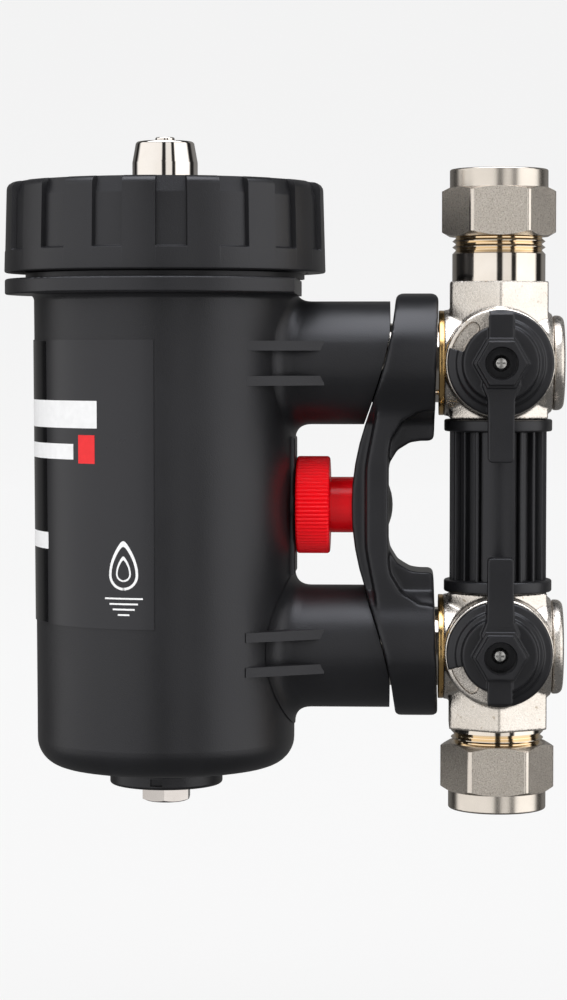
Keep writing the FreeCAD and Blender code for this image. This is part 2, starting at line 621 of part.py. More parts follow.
def valve_body(relief, end):
    """Forged brass body: cross tube, hexagon neck, handle boss, spigot, and the bores inside."""
    z = UPPER_PORT_Z
    cross_r = 16.1
    cross = turned([(0, -16.8), (cross_r, -16.8, 0.5), (15.9, 14.4, 0.8), (14.6, CROSS_END, 0.3),
                    (0, CROSS_END)], (0, 0, z), (1, 0, 0))
    shoulder = rod(cross_r, 1.5, (BRIDGE_RIGHT_X + 0.05, 0, z), (1, 0, 0))
    prism = hexagon(NECK_HEX, HEX_TOP - HEX_LOW, (0, 0, z + HEX_LOW), turn=30, round_r=1.0)
    trim = turned([(0, HEX_LOW), (16.2, HEX_LOW, 0.8), (18.0, HEX_LOW + 2.5), (18.0, HEX_TOP - 2.0),
                   (16.2, HEX_TOP, 0.6), (0, HEX_TOP)], (0, 0, z))
    prism = prism.common(trim)
    boss = turned([(0, 0), (BOSS_R, 0), (BOSS_R, -BOSS_Y, 0.8), (0, -BOSS_Y)], (0, 0, z), (0, -1, 0))
    back = turned([(0, 0), (15.0, 0), (15.0, 12.0, 3.0), (10.0, 16.5, 2.0), (0, 16.5)], (0, 0, z), (0, 1, 0))
    spigot = spigot_shape(z)
    neck = turned(neck_profile(HEX_TOP - 4, relief, end), (0, 0, z))
    foot = rod(11.0, 9.0, (0, 0, z + HEX_LOW - 9.0))
    body = fused([cross, shoulder, prism, boss, back, spigot, neck, foot])
    cuts = [
        rod(SOCKET_R, 40, (0, 0, z + end - SOCKET_DEPTH)),
        rod(NECK_BORE_R, 40, (0, 0, z)),
        rod(PORT_HOLE_R, 70, (-70, 0, z), (1, 0, 0)),
        rod(BALL_R + 0.6, 30, (-9.6, 0, z), (1, 0, 0)),
        Part.makeSphere(BALL_R + 0.3, Vector(0, 0, z)),
        rod(4.1, 40, (0, 0, z), (0, -1, 0)),
        rod(6.6, 8.0, (0, -15.5, z), (0, -1, 0)),
        stop_groove(z),
    ]
    for cut in cuts:
        body = body.cut(cut)
    return body


def spigot_shape(z):
    """Long spigot with two seal grooves and a circlip groove, measured back from the shoulder."""
    tip = SPIGOT_TIP
    tip_x = BRIDGE_RIGHT_X - tip
    clip = CIRCLIP_X - tip_x
    grooves = [(3.0, 5.6, 1.9), (7.2, 9.8, 1.9), (clip - 0.05, clip + 1.35, 1.0)]
    points = [(PORT_HOLE_R, 0), (SPIGOT_R - 1.2, 0), (SPIGOT_R, 1.2)]
    for low, high, depth in grooves:
        points += [(SPIGOT_R, low), (SPIGOT_R - depth, low), (SPIGOT_R - depth, high), (SPIGOT_R, high)]
    points += [(SPIGOT_R, tip + 2.0), (PORT_HOLE_R, tip + 2.0)]
    return turned(points, (tip_x, 0, z), (1, 0, 0))


def stop_groove(z):
    """Round-ended arc groove in the boss face that the handle's finger runs in."""
    width, depth = 3.4, 2.0
    arc = ring(STOP_R + width / 2, STOP_R - width / 2, depth + 1, (0, BOSS_Y + depth, z), (0, -1, 0))
    a, b = math.radians(STOP_FROM), math.radians(STOP_FROM + STOP_SWEEP)
    mid = (a + b) / 2
    far = 40.0
    points = [Vector(0, 0, 0)]
    for angle in (a, (a + mid) / 2, mid, (mid + b) / 2, b):
        points.append(Vector(far * math.cos(angle), 0, far * math.sin(angle)))
    face = Part.Face(Part.makePolygon(points + points[:1]))
    sector = face.extrude(Vector(0, depth + 1, 0))
    sector.translate(Vector(0, BOSS_Y - 1, z))
    ends = []
    for angle in (a, b):
        centre = (STOP_R * math.cos(angle), BOSS_Y + depth, z + STOP_R * math.sin(angle))
        ends.append(rod(width / 2, depth + 1, centre, (0, -1, 0)))
    return joined([arc.common(sector)] + ends)


def handle():
    """Lever handle: skirt disc with a window, raised disc, hexagon boss, lever and short tail."""
    z = UPPER_PORT_Z
    face = HANDLE_Y
    skirt = turned([(4.8, 0), (HANDLE_R, 0, 0.3), (HANDLE_R, 3.6, 1.0), (11.6, 4.4, 0.5), (11.2, 6.6, 0.6),
                    (4.8, 6.6)], (0, face, z), (0, -1, 0))
    window = slab_sector(z, 11.4, 100.0, 161.0, face)
    skirt = skirt.cut(window)
    hex_boss = hexagon(14.6, 12.0, (0, face - 2.5, z), (0, -1, 0), round_r=0.8)
    hex_trim = turned([(0, 0), (12.0, 0), (9.4, 14.5, 0.5), (0, 14.5)], (0, face, z), (0, -1, 0))
    lever = slab([(-3.9, z + 2), (-3.75, z - 29.0, 1.0), (3.75, z - 29.0, 1.0), (3.9, z + 2)], 3.6)
    lever.translate(Vector(0, face - 6.9, 0))
    tail = slab([(-3.6, z - 2), (-3.6, z + 16.4, 1.2), (3.6, z + 16.4, 1.2), (3.6, z - 2)], 3.4)
    tail.translate(Vector(0, face - 3.8, 0))
    body = joined([skirt, hex_boss.common(hex_trim), soften(lever, face), soften(tail, face)])
    body = body.cut(rod(4.7, 20.0, (0, face - 6.0, z), (0, -1, 0)))
    body = body.cut(drive_hole(z, face))
    finger_angle = math.radians(STOP_FROM + 97.0)
    finger_x, finger_z = STOP_R * math.cos(finger_angle), z + STOP_R * math.sin(finger_angle)
    finger = rod(1.5, 2.5, (finger_x, face + 1.9, finger_z), (0, -1, 0))
    return joined([body, finger])


def soften(bar, face):
    """Rounds the long front edges of the lever and tail."""
    front = bar.BoundBox.YMin
    edges = [e for e in bar.Edges if abs(e.CenterOfMass.y - front) < 0.01]
    return bar.makeFillet(0.7, edges)


def slab_sector(z, inner, start, end, face):
    """Cutter for the handle's window: an annular sector through the skirt only."""
    reach = 30.0
    angles = [math.radians(start + (end - start) * step / 4) for step in range(5)]
    points = [Vector(0, 0, 0)] + [Vector(reach * math.cos(a), 0, reach * math.sin(a)) for a in angles]
    wedge = Part.Face(Part.makePolygon(points + points[:1])).extrude(Vector(0, 12, 0))
    wedge.translate(Vector(0, face - 10, z))
    return wedge.cut(rod(inner, 20, (0, face + 5, z), (0, -1, 0)))


def drive_hole(z, face):
    """Square socket for the stem, with a web left under the screw head."""
    half = SQUARE / 2 + REST_GAP
    socket = box((-half, face - 5.2, z - half), (half, face + 1, z + half))
    return socket.fuse(rod(SCREW_R + 0.2, 7.0, (0, face, z), (0, -1, 0)))


def handle_screw():
    """Cross-slot screw that holds the handle on the stem."""
    z = UPPER_PORT_Z
    head_y = HANDLE_Y - 6.0 - REST_GAP
    shank = 9.0
    head = turned([(0, 0), (2.4, 0), (2.4, 0.9, 0.4), (1.6, 1.5, 0.4), (0, 1.7)], (0, head_y, z), (0, -1, 0))
    screw = joined([head, rod(SCREW_R, shank, (0, head_y + shank, z), (0, -1, 0))])
    for half_x, half_z in ((1.3, 0.3), (0.3, 1.3)):
        screw = screw.cut(box((-half_x, head_y - 3, z - half_z), (half_x, head_y - 0.8, z + half_z)))
    return screw


def stem():
    """Brass stem: tongue in the ball, seal groove, and the square that drives the handle."""
    z = UPPER_PORT_Z
    foot, groove, square_start = BALL_R + 0.2, (13.4, 14.6), 20.4
    waist = STEM_R - 1.0
    shaft = turned([(0, foot), (STEM_R, foot), (STEM_R, groove[0]), (waist, groove[0]), (waist, groove[1]),
                    (STEM_R, groove[1]), (STEM_R, square_start), (0, square_start)], (0, 0, z), (0, -1, 0))
    half = SQUARE / 2
    square = box((-half, -26.0, z - half), (half, -square_start, z + half))
    tongue = box((-STEM_R, -foot, z - 1.4), (STEM_R, -8.6, z + 1.4))
    tongue = tongue.common(rod(STEM_R, 8.0, (0, -8.0, z), (0, -1, 0)))
    screw_hole = rod(SCREW_R + REST_GAP, 12.0, (0, -17.0, z), (0, -1, 0))
    return fused([shaft, square, tongue]).cut(screw_hole)


def ball():
    """Chromed ball with an L-shaped waterway: towards the filter and towards the pipe."""
    z = UPPER_PORT_Z
    hole_r = PORT_HOLE_R - 0.6
    waterway = [rod(hole_r, 20, (0, 0, z), (-1, 0, 0)), rod(hole_r, 20, (0, 0, z), (0, 0, 1)),
                Part.makeSphere(hole_r, Vector(0, 0, z))]
    body = Part.makeSphere(BALL_R, Vector(0, 0, z))
    for cut in waterway:
        body = body.cut(cut)
    slot = box((-15, -13.0, z - 1.5), (15, -8.55, z + 1.5))
    return body.cut(slot)


def ball_seats():
    """Sealing rings each side of the ball."""
    z = UPPER_PORT_Z
    seats = []
    for along, outer_end in ((-1, 9.55), (1, 10.9)):
        seat = ring(BALL_R + 0.5, PORT_HOLE_R, outer_end - 6.5, (along * 6.5, 0, z), (along, 0, 0))
        seats.append(seat.cut(Part.makeSphere(BALL_R + 0.06, Vector(0, 0, z))))
    return seats


def valve_plug():
    """Screwed end plug on the side away from the filter, hollowed to clear the ball."""
    z = UPPER_PORT_Z
    rim = CROSS_END + REST_GAP
    outer, inner, end = 14.4, BALL_R + 0.5, 19.7
    plug = turned([(0, BALL_R + 0.7), (9.2, BALL_R + 0.7), (9.2, 10.95), (inner, 10.95), (inner, rim),
                   (outer, rim, 0.3), (outer, end, 1.3), (9.4, end, 0.4), (9.4, 17.6), (0, 17.6)],
                  (0, 0, z), (1, 0, 0))
    return joined([plug, box((17.0, -9.8, z - 2.0), (19.2, 9.8, z + 2.0))])


def gland():
    """Ring nut that keeps the stem in, under the handle."""
    z = UPPER_PORT_Z
    return turned([(4.1, 15.6), (6.5, 15.6), (6.5, 20.3, 0.4), (4.1, 20.3)], (0, 0, z), (0, -1, 0))


def compression_nut(flip):
    """Nut standing on its mouth: hexagon below, collar above; flip stands it the other way."""
    shape = hexagon(NUT_FLATS, NUT_HEX_H, (0, 0, 0), round_r=1.8)
    tip_r = NUT_FLATS / math.sqrt(3)
    trim = turned([(0, 0), (NUT_FLATS / 2 - 0.2, 0), (tip_r, 1.5), (tip_r, NUT_HEX_H - 1.2),
                   (NUT_FLATS / 2, NUT_HEX_H), (0, NUT_HEX_H)])
    collar_r, thread_r = 14.9, THREAD_R + 1.5 * GAP
    collar = turned([(0, NUT_HEX_H - 1), (collar_r, NUT_HEX_H - 1), (collar_r, NUT_H, 0.6), (0, NUT_H)])
    hollow = turned([(0, -1), (THREAD_R + 0.8, -1), (THREAD_R + 0.8, 0), (thread_r, 0.8), (thread_r, 13.4),
                     (12.6, 14.4), (NUT_MOUTH_R, 16.2), (NUT_MOUTH_R, NUT_H + 1), (0, NUT_H + 1)])
    nut = joined([shape.common(trim), collar]).cut(hollow)
    if flip:
        nut.rotate(Vector(0, 0, 0), X_AXIS, 180)
    return nut


def olive():
    """Barrel-shaped brass sealing ring."""
    inner, edge, belly = OLIVE_IN_R, OLIVE_IN_R + 0.3, PIPE_R + 1.6
    return turned([(inner, 0), (edge, 0), (belly, 2.6), (belly, 4.6), (edge, OLIVE_H), (inner, OLIVE_H)])


def build_valves():
    upper_top = UPPER_PORT_Z + UPPER_NECK
    lower_end = LOWER_PORT_Z - LOWER_NECK
    node("upper_valve_body", valve_body(33.2, UPPER_NECK))
    node("lower_valve_body", mirrored(valve_body(26.0, LOWER_NECK)))
    tip_x = BRIDGE_RIGHT_X - SPIGOT_TIP
    pieces = {
        "handle": [handle()], "handle_screw": [handle_screw()], "stem": [stem()], "ball": [ball()],
        "ball_seats": ball_seats(), "valve_plug": [valve_plug()], "stem_gland": [gland()],
        "stem_o_ring": [o_ring(3.52, 0.45, (0, -14.0, UPPER_PORT_Z), (0, 1, 0))],
        "spigot_circlip": [circlip(SPIGOT_R - 0.95, 15.2, 1.2, (CIRCLIP_X, 0, UPPER_PORT_Z))],
        "spigot_o_rings": [o_ring(SPIGOT_R - 0.95, 0.95, (tip_x + h, 0, UPPER_PORT_Z), (1, 0, 0))
                           for h in (4.3, 8.5)],
    }
    for name, solids in pieces.items():
        node("upper_" + name, *solids)
        node("lower_" + name, *[mirrored(s) for s in solids])
    upper_nut = compression_nut(False)
    upper_nut.translate(Vector(0, 0, upper_top - NUT_OVERLAP))
    lower_nut = compression_nut(True)
    lower_nut.translate(Vector(0, 0, NUT_H))
    node("upper_nut", upper_nut)
    node("lower_nut", lower_nut)
    upper_olive = olive()
    upper_olive.translate(Vector(0, 0, upper_top - OLIVE_SEATED))
    lower_olive = olive()
    lower_olive.translate(Vector(0, 0, lower_end + OLIVE_SEATED - OLIVE_H))
    node("upper_olive", upper_olive)
    node("lower_olive", lower_olive)


# Spacer between the valves -----------------------------------------------------------------------
SPACER_R = 14.7
SPACER_ROOT_R = 12.9
SPACER_FLANGE_R = 16.4
SPACER_FLANGE = 3.6
SPACER_BORE_R = 11.3
SPACER_PANEL = 9.2            # width of the flat front panel
RIB_ANGLES = (27.5, 46, 65, 84, 102.5, 121, 140, 160)


def spacer():
    """Fluted plastic tube that sets the distance between the valves."""
    low = LOWER_PORT_Z - HEX_LOW + REST_GAP
    length = PORT_PITCH + 2 * HEX_LOW - 2 * REST_GAP
    high = length - SPACER_FLANGE
    tube = turned([(SPACER_BORE_R, 0), (SPACER_FLANGE_R, 0, 0.5), (SPACER_FLANGE_R, SPACER_FLANGE, 0.5),
                   (SPACER_ROOT_R, SPACER_FLANGE), (SPACER_ROOT_R, high), (SPACER_FLANGE_R, high, 0.5),
                   (SPACER_FLANGE_R, length, 0.5), (SPACER_BORE_R, length)])
    start, end = SPACER_FLANGE - 0.2, high + 0.2
    rib = box((SPACER_ROOT_R - 0.6, -0.75, start), (SPACER_R, 0.75, end))
    ribs = [around(rib, -90 + side * angle) for angle in RIB_ANGLES for side in (-1, 1)]
    panel = ring(SPACER_R - 0.5, SPACER_ROOT_R - 0.6, end - start, (0, 0, start))
    wide = box((-SPACER_PANEL / 2, -20, 0), (SPACER_PANEL / 2, 0, 60))
    body = joined([tube, panel.common(wide)] + ribs)
    body.translate(Vector(0, 0, low))
    return body


# Build and export ----------------------------------------------------------------------------------
build_canister()
build_cartridge()
build_lid()
build_drain()
build_bridge()
build_valves()
node("valve_spacer", spacer())

os.makedirs("parts", exist_ok=True)
for name, shape in NODES.items():
    for solid in shape.Solids:
        if not solid.isValid():
            print("not valid:", name)
    shape.exportStep(f"parts/{name}.step")
print(len(NODES), "nodes")
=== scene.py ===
import math

import bmesh
import bpy
from mathutils import Matrix, Vector


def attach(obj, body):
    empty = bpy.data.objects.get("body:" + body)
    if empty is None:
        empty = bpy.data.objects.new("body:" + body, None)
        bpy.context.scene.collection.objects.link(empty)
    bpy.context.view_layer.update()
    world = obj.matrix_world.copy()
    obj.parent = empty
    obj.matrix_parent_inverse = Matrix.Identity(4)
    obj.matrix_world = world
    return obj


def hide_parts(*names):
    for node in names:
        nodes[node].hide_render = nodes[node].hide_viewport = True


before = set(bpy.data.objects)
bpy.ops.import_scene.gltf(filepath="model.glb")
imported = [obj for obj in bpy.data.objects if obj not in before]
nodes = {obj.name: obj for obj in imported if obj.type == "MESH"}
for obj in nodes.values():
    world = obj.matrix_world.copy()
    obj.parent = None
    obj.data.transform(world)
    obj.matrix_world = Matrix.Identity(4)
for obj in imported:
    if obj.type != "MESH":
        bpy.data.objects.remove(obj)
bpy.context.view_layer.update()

# ---- The two valve bodies -------------------------------------------------------------------
# Hot brass forgings, nickel-plated, with soft corners and a fine-grained skin. The neck, its
# thread, the spigot and the shoulder under the bridge are turned, and the shoulder is bare brass.

MM = 0.001
VALVE_HEIGHTS = {"upper": 136.0, "lower": 49.5}
NECK = {"upper": (33.2, 48.0), "lower": (26.0, 39.6)}     # thread start and end from the ball centre
MIDDLE_Z = 92.75


def add(tree, kind, inputs=None, **settings):
    """One shader node; an input is a number, a colour or another node's output."""
    node = tree.nodes.new("ShaderNode" + kind)
    for key, value in settings.items():
        setattr(node, key, value)
    for key, value in (inputs or {}).items():
        if isinstance(value, bpy.types.NodeSocket):
            tree.links.new(value, node.inputs[key])
        else:
            node.inputs[key].default_value = value
    return node


def sum_of(tree, operation, first, second=0.0):
    return add(tree, "Math", {0: first, 1: second}, operation=operation).outputs[0]


def from_axis(tree, x, y):
    """Distance of a point from the pipe's axis."""
    squares = [sum_of(tree, "MULTIPLY", value, value) for value in (x, y)]
    return sum_of(tree, "SQRT", sum_of(tree, "ADD", *squares))


def surface(name, metallic, roughness, **constants):
    """A new material with its shader, and the object's own coordinates to work from."""
    material = bpy.data.materials.new(name)
    material.use_nodes = True
    tree = material.node_tree
    shader = tree.nodes["Principled BSDF"]
    shader.inputs["Metallic"].default_value = metallic
    shader.inputs["Roughness"].default_value = roughness
    for key, value in constants.items():
        shader.inputs[key.replace("_", " ")].default_value = value
    return material, tree, shader, add(tree, "TexCoord").outputs["Object"]


def noise(tree, place, scale, detail=3.0, roughness=0.55):
    inputs = {"Vector": place, "Scale": scale, "Detail": detail, "Roughness": roughness}
    return add(tree, "TexNoise", inputs).outputs["Fac"]


def spread(tree, value, low, high, start=0.3, end=0.7):
    """Stretches the useful middle of a noise to a range."""
    inputs = {"Value": value, "From Min": start, "From Max": end, "To Min": low, "To Max": high}
    return add(tree, "MapRange", inputs, clamp=True).outputs["Result"]


def blend(tree, share, first, second):
    """A colour between two others."""
    node = tree.nodes.new("ShaderNodeMix")
    node.data_type = "RGBA"
    for socket, value in ((node.inputs[0], share), (node.inputs[6], first), (node.inputs[7], second)):
        if isinstance(value, bpy.types.NodeSocket):
            tree.links.new(value, socket)
        else:
            socket.default_value = value if isinstance(value, float) else (*value, 1.0)
    return node.outputs[2]


def roughen(tree, shader, height, depth):
    """Raises the surface by a height of up to this depth, in metres."""
    bump = add(tree, "Bump", {"Height": height, "Distance": depth, "Strength": 1.0})
    tree.links.new(bump.outputs["Normal"], shader.inputs["Normal"])


def corner(before, at, after, radius, steps=4):
    """Points of the arc that rounds one corner of an outline."""
    p = Vector(at)
    to_a, to_b = (Vector(before) - p).normalized(), (Vector(after) - p).normalized()
    half = to_a.angle(to_b) / 2
    reach = radius / math.tan(half)
    centre = p + (to_a + to_b).normalized() * (radius / math.sin(half))
    start, end = p + to_a * reach - centre, p + to_b * reach - centre
    points = []
    for step in range(steps + 1):
        share = step / steps
        points.append(centre + start.lerp(end, share).normalized() * radius)
    return points


def rounded(points, closed=True):
    """An outline with its corners rounded: points are (a, b) or (a, b, corner radius)."""
    line = []
    count = len(points)
    for i, point in enumerate(points):
        here = point[:2]
        ends = not closed and i in (0, count - 1)
        if len(point) == 3 and not ends:
            line += corner(points[i - 1][:2], here, points[(i + 1) % count][:2], point[2])
        else:
            line.append(Vector(here))
    return line


def mesh_from(verts, faces, name):
    """A mesh in millimetres, with its faces turned outwards."""
    shape = bmesh.new()
    made = [shape.verts.new(v) for v in verts]
    for face in faces:
        corners = list(dict.fromkeys(made[i] for i in face))
        if len(corners) > 2:
            shape.faces.new(corners)
    bmesh.ops.remove_doubles(shape, verts=shape.verts, dist=1e-5)
    bmesh.ops.recalc_face_normals(shape, faces=shape.faces)
    data = bpy.data.meshes.new(name)
    shape.to_mesh(data)
    shape.free()
    return data


def lathe(points, at=(0, 0, 0), along=(0, 0, 1), segments=128, name="turned"):
    """A turned solid: an outline of (radius, height) spun about an axis."""
    line = rounded(points)
    turn = Matrix.Translation(at) @ Vector((0, 0, 1)).rotation_difference(Vector(along)).to_matrix().to_4x4()
    verts, faces = [], []
    for step in range(segments):
        angle = 2 * math.pi * step / segments
        for r, h in line:
            verts.append(turn @ Vector((r * math.cos(angle), r * math.sin(angle), h)))
    rows = len(line)
    for step in range(segments):
        a, b = step * rows, (step + 1) % segments * rows
        for i in range(rows):
            j = (i + 1) % rows
            faces.append((a + i, b + i, b + j, a + j))
    return mesh_from(verts, faces, name)


def prism(outline, low, high, axes="xyz", name="prism"):
    """A solid of one outline in the first two axes, between two heights on the third."""
    order = ["xyz".index(letter) for letter in axes]
    verts = []
    for height in (low, high):
        for point in outline:
            place = [0, 0, 0]
            place[order[0]], place[order[1]], place[order[2]] = point[0], point[1], height
            verts.append(place)
    count = len(outline)
    faces = [tuple(range(count)), tuple(range(count, 2 * count))]
    faces += [(i, (i + 1) % count, count + (i + 1) % count, count + i) for i in range(count)]
    return mesh_from(verts, faces, name)


def polygon(flats, turn=0.0, sides=6):
    reach = flats / 2 / math.cos(math.pi / sides)
    return [(reach * math.cos(math.radians(360 / sides * i + turn)),
             reach * math.sin(math.radians(360 / sides * i + turn))) for i in range(sides)]


def joined(meshes):
    shape = bmesh.new()
    for mesh in meshes:
        shape.from_mesh(mesh)
    data = bpy.data.meshes.new("joined")
    shape.to_mesh(data)
    shape.free()
    return data


def modified(mesh, kind, **settings):
    """The mesh after one modifier."""
    helper = bpy.data.objects.new("work", mesh)
    bpy.context.scene.collection.objects.link(helper)
    modifier = helper.modifiers.new("work", kind)
    for key, value in settings.items():
        setattr(modifier, key, value)
    graph = bpy.context.evaluated_depsgraph_get()
    result = bpy.data.meshes.new_from_object(helper.evaluated_get(graph))
    bpy.data.objects.remove(helper)
    return result


def cast(meshes, voxel, soft):
    """One solid run together from overlapping ones, with the soft corners of a casting."""
    whole = modified(joined(meshes), "REMESH", mode="VOXEL", voxel_size=voxel)
    return modified(whole, "SMOOTH", factor=0.5, iterations=soft)


def combined(mesh, other, operation):
    tool = bpy.data.objects.new("tool", other)
    bpy.context.scene.collection.objects.link(tool)
    mesh = modified(mesh, "BOOLEAN", operation=operation, solver="MANIFOLD", object=tool)
    bpy.data.objects.remove(tool)
    return mesh


def both(mesh, other):
    """Only what two solids share."""
    return combined(mesh, other, "INTERSECT")


def cut(mesh, cutters):
    """The mesh with other solids taken away."""
    for cutter in cutters:
        mesh = combined(mesh, cutter, "DIFFERENCE")
    return mesh


def turned_rod(radius, length, at, along=(0, 0, 1), segments=96):
    return lathe([(0, 0), (radius, 0), (radius, length), (0, length)], at, along, segments)


def fit(name, mesh, material, body, smooth=40.0, flip=False, replaces=()):
    """Finishes a piece: scale, side, shading, material, and the body it rides on."""
    data = mesh.copy()
    data.transform(Matrix.Scale(MM, 4))
    if flip:
        middle = MIDDLE_Z * MM
        data.transform(Matrix.Translation((0, 0, middle)) @ Matrix.Scale(-1, 4, (0, 0, 1))
                       @ Matrix.Translation((0, 0, -middle)))
        data.flip_normals()
    data.name = name
    data.shade_smooth()
    data.set_sharp_from_angle(angle=math.radians(smooth))
    data.materials.clear()
    data.materials.append(material)
    piece = bpy.data.objects.new(name, data)
    bpy.context.scene.collection.objects.link(piece)
    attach(piece, body)
    if replaces:
        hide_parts(*replaces)
    return piece


def wear(material, *names):
    """Gives carried-over nodes a material."""
    for name in names:
        nodes[name].data.materials.clear()
        nodes[name].data.materials.append(material)


NICKEL = (0.83, 0.785, 0.735)
DULLER_NICKEL = (0.74, 0.685, 0.62)
BARE_BRASS = (0.88, 0.60, 0.26)


def forged_nickel():
    """Plate over a fine forged skin: satin, with dark specks where the skin is open."""
    material, tree, shader, place = surface("nickel_on_forging", 1.0, 0.3)
    grain = noise(tree, place, 1700.0, 4.0, 0.65)
    cloud = noise(tree, place, 70.0)
    specks = spread(tree, noise(tree, place, 520.0, 2.0), 0.0, 1.0, 0.66, 0.74)
    tint = blend(tree, spread(tree, cloud, 0.0, 1.0), NICKEL, DULLER_NICKEL)
    tree.links.new(blend(tree, specks, tint, (0.50, 0.43, 0.35)), shader.inputs["Base Color"])
    tree.links.new(spread(tree, grain, 0.22, 0.36), shader.inputs["Roughness"])
    roughen(tree, shader, grain, 0.00007)
    return material


def turned_metal(name, colour, darker, low, high):
    """Bright metal from the lathe, with a fine grain in its roughness and a little unevenness."""
    material, tree, shader, place = surface(name, 1.0, low)
    cloud = noise(tree, place, 90.0)
    tree.links.new(blend(tree, spread(tree, cloud, 0.0, 1.0), colour, darker), shader.inputs["Base Color"])
    tree.links.new(spread(tree, noise(tree, place, 700.0), low, high), shader.inputs["Roughness"])
    return material


forging_skin = forged_nickel()
bright_nickel = turned_metal("bright_nickel", NICKEL, DULLER_NICKEL, 0.05, 0.09)
brass = turned_metal("turned_brass", BARE_BRASS, (0.74, 0.47, 0.18), 0.14, 0.24)


def neck_material():
    """Bright plate that shows gold in the thread roots, where it is thin."""
    material, tree, shader, place = surface("nickel_neck", 1.0, 0.07)
    x, y, _ = add(tree, "SeparateXYZ", {0: place}).outputs
    across = from_axis(tree, x, y)
    thin = spread(tree, across, 1.0, 0.25, 0.0131, 0.0141)
    cloud = noise(tree, place, 90.0)
    plate = blend(tree, spread(tree, cloud, 0.0, 1.0), NICKEL, DULLER_NICKEL)
    worn = sum_of(tree, "MULTIPLY", thin, spread(tree, across, 1.0, 0.0, 0.01406, 0.01412))
    tree.links.new(blend(tree, worn, plate, (0.90, 0.73, 0.50)), shader.inputs["Base Color"])
    tree.links.new(spread(tree, noise(tree, place, 600.0), 0.05, 0.10), shader.inputs["Roughness"])
    return material


thread_plate = neck_material()


def stop_groove(z):
    """Round-ended arc groove in the boss face that the lever's finger runs in, its edge broken."""
    radius, start, sweep = 13.1, 128.0, 104.0
    verts = []

    def at(reach, degrees, off=0.0, turn=0.0):
        """A point of the arc, or of the round end about it."""
        angle = math.radians(degrees)
        x = reach * math.cos(angle) + off * math.cos(angle + turn)
        return (x, z + reach * math.sin(angle) + off * math.sin(angle + turn))

    spans = [start + sweep * step / 24 for step in range(25)]
    turns = [math.pi * step / 8 for step in range(1, 8)]
    for half_width, y in ((3.2, -22.0), (1.7, -20.1), (1.7, -18.5)):
        outline = [at(radius + half_width, angle) for angle in spans]
        outline += [at(radius, start + sweep, half_width, turn) for turn in turns]
        outline += [at(radius - half_width, angle) for angle in reversed(spans)]
        outline += [at(radius, start, half_width, math.pi + turn) for turn in turns]
        verts += [(x, y, up) for x, up in outline]
    count = len(outline)
    faces = [tuple(range(count)), tuple(range(2 * count, 3 * count))]
    for first in (0, count):
        for i in range(count):
            a, b = first + i, first + (i + 1) % count
            faces.append((a, b, b + count, a + count))
    return mesh_from(verts, faces, "groove")


def valve(side):
    z = VALVE_HEIGHTS["upper"]
    thread_start, end = NECK[side]
    flip = side == "lower"
    hexagon = prism(rounded([(*q, 1.0) for q in polygon(29.5, 30.0)]), z - 17.0, z + 24.6)
    tube = lathe([(0, -16.8), (16.1, -16.8, 0.5), (15.9, 14.4, 1.2), (14.6, 16.25, 0.4), (0, 16.25)],
                 (0, 0, z), (1, 0, 0))
    boss = lathe([(0, 0), (16.4, 0), (16.4, 20.5, 0.8), (0, 20.5)], (0, 0, z), (0, -1, 0))
    back = lathe([(0, 0), (15.0, 0), (15.0, 12.0, 3.0), (10.0, 16.4, 2.0), (0, 16.4)], (0, 0, z), (0, 1, 0))
    foot = turned_rod(11.0, 12.0, (0, 0, z - 26.0))
    body = cast([hexagon, tube, boss, back, foot], 0.42, 7)
    body = cut(body, [
        turned_rod(9.0, 40.0, (0, 0, z)),
        turned_rod(8.0, 40.0, (-40.0, 0, z), (1, 0, 0)),
        turned_rod(13.0, 40.0, (-9.6, 0, z), (1, 0, 0)),
        turned_rod(4.1, 40.0, (0, 0, z), (0, -1, 0)),
        turned_rod(6.6, 8.0, (0, -15.5, z), (0, -1, 0)),
        stop_groove(z),
    ])
    fit(side + "_forging", body, forging_skin, "valve_set", 35.0, flip,
        [side + "_valve_body"])

    crest, root, pitch = 14.05, 13.1, 1.8
    line = [(9.0, 21.0), (14.1, 21.0), (14.1, thread_start - 0.3)]
    h = thread_start
    while h + pitch < end - 0.6:
        line += [(root, h + 0.42 * pitch), (root, h + 0.58 * pitch)]
        line += [(crest, h + 0.94 * pitch), (crest, h + 1.02 * pitch)]
        h += pitch
    line += [(crest, end - 0.7), (crest - 0.7, end), (13.1, end), (11.1, end - 3.4)]
    line += [(11.1, end - 17.0), (9.0, end - 17.0)]
    fit(side + "_neck", lathe(line, (0, 0, z)), thread_plate, "valve_set", 25.0, flip)

    ring = lathe([(8.0, 0), (15.9, 0, 0.25), (15.9, 1.6, 0.25), (8.0, 1.6)], (-18.15, 0, z), (1, 0, 0))
    fit(side + "_shoulder", ring, brass, "valve_set", 35.0, flip)
    spigot = [(8.0, 0), (10.8, 0), (12.0, 1.2)]
    for low, high, depth in ((3.0, 5.6, 1.9), (7.2, 9.8, 1.9), (22.55, 23.95, 1.0)):
        spigot += [(12.0, low), (12.0 - depth, low), (12.0 - depth, high), (12.0, high)]
    spigot += [(12.0, 34.5), (8.0, 34.5)]
    fit(side + "_spigot", lathe(spigot, (-52.2, 0, z), (1, 0, 0)), bright_nickel, "valve_set",
        25.0, flip)


for side in ("upper", "lower"):
    valve(side)


# ---- Balls, seats, stems and glands ---------------------------------------------------------
# Plated balls in white seats, brass stems with a rubber ring, and brass glands. They are inside
# the forgings and only show with a joint apart.

chrome = turned_metal("bright_chrome", (0.88, 0.84, 0.80), (0.80, 0.75, 0.70), 0.04, 0.08)
steel = turned_metal("stainless_steel", (0.62, 0.61, 0.60), (0.50, 0.50, 0.49), 0.20, 0.34)


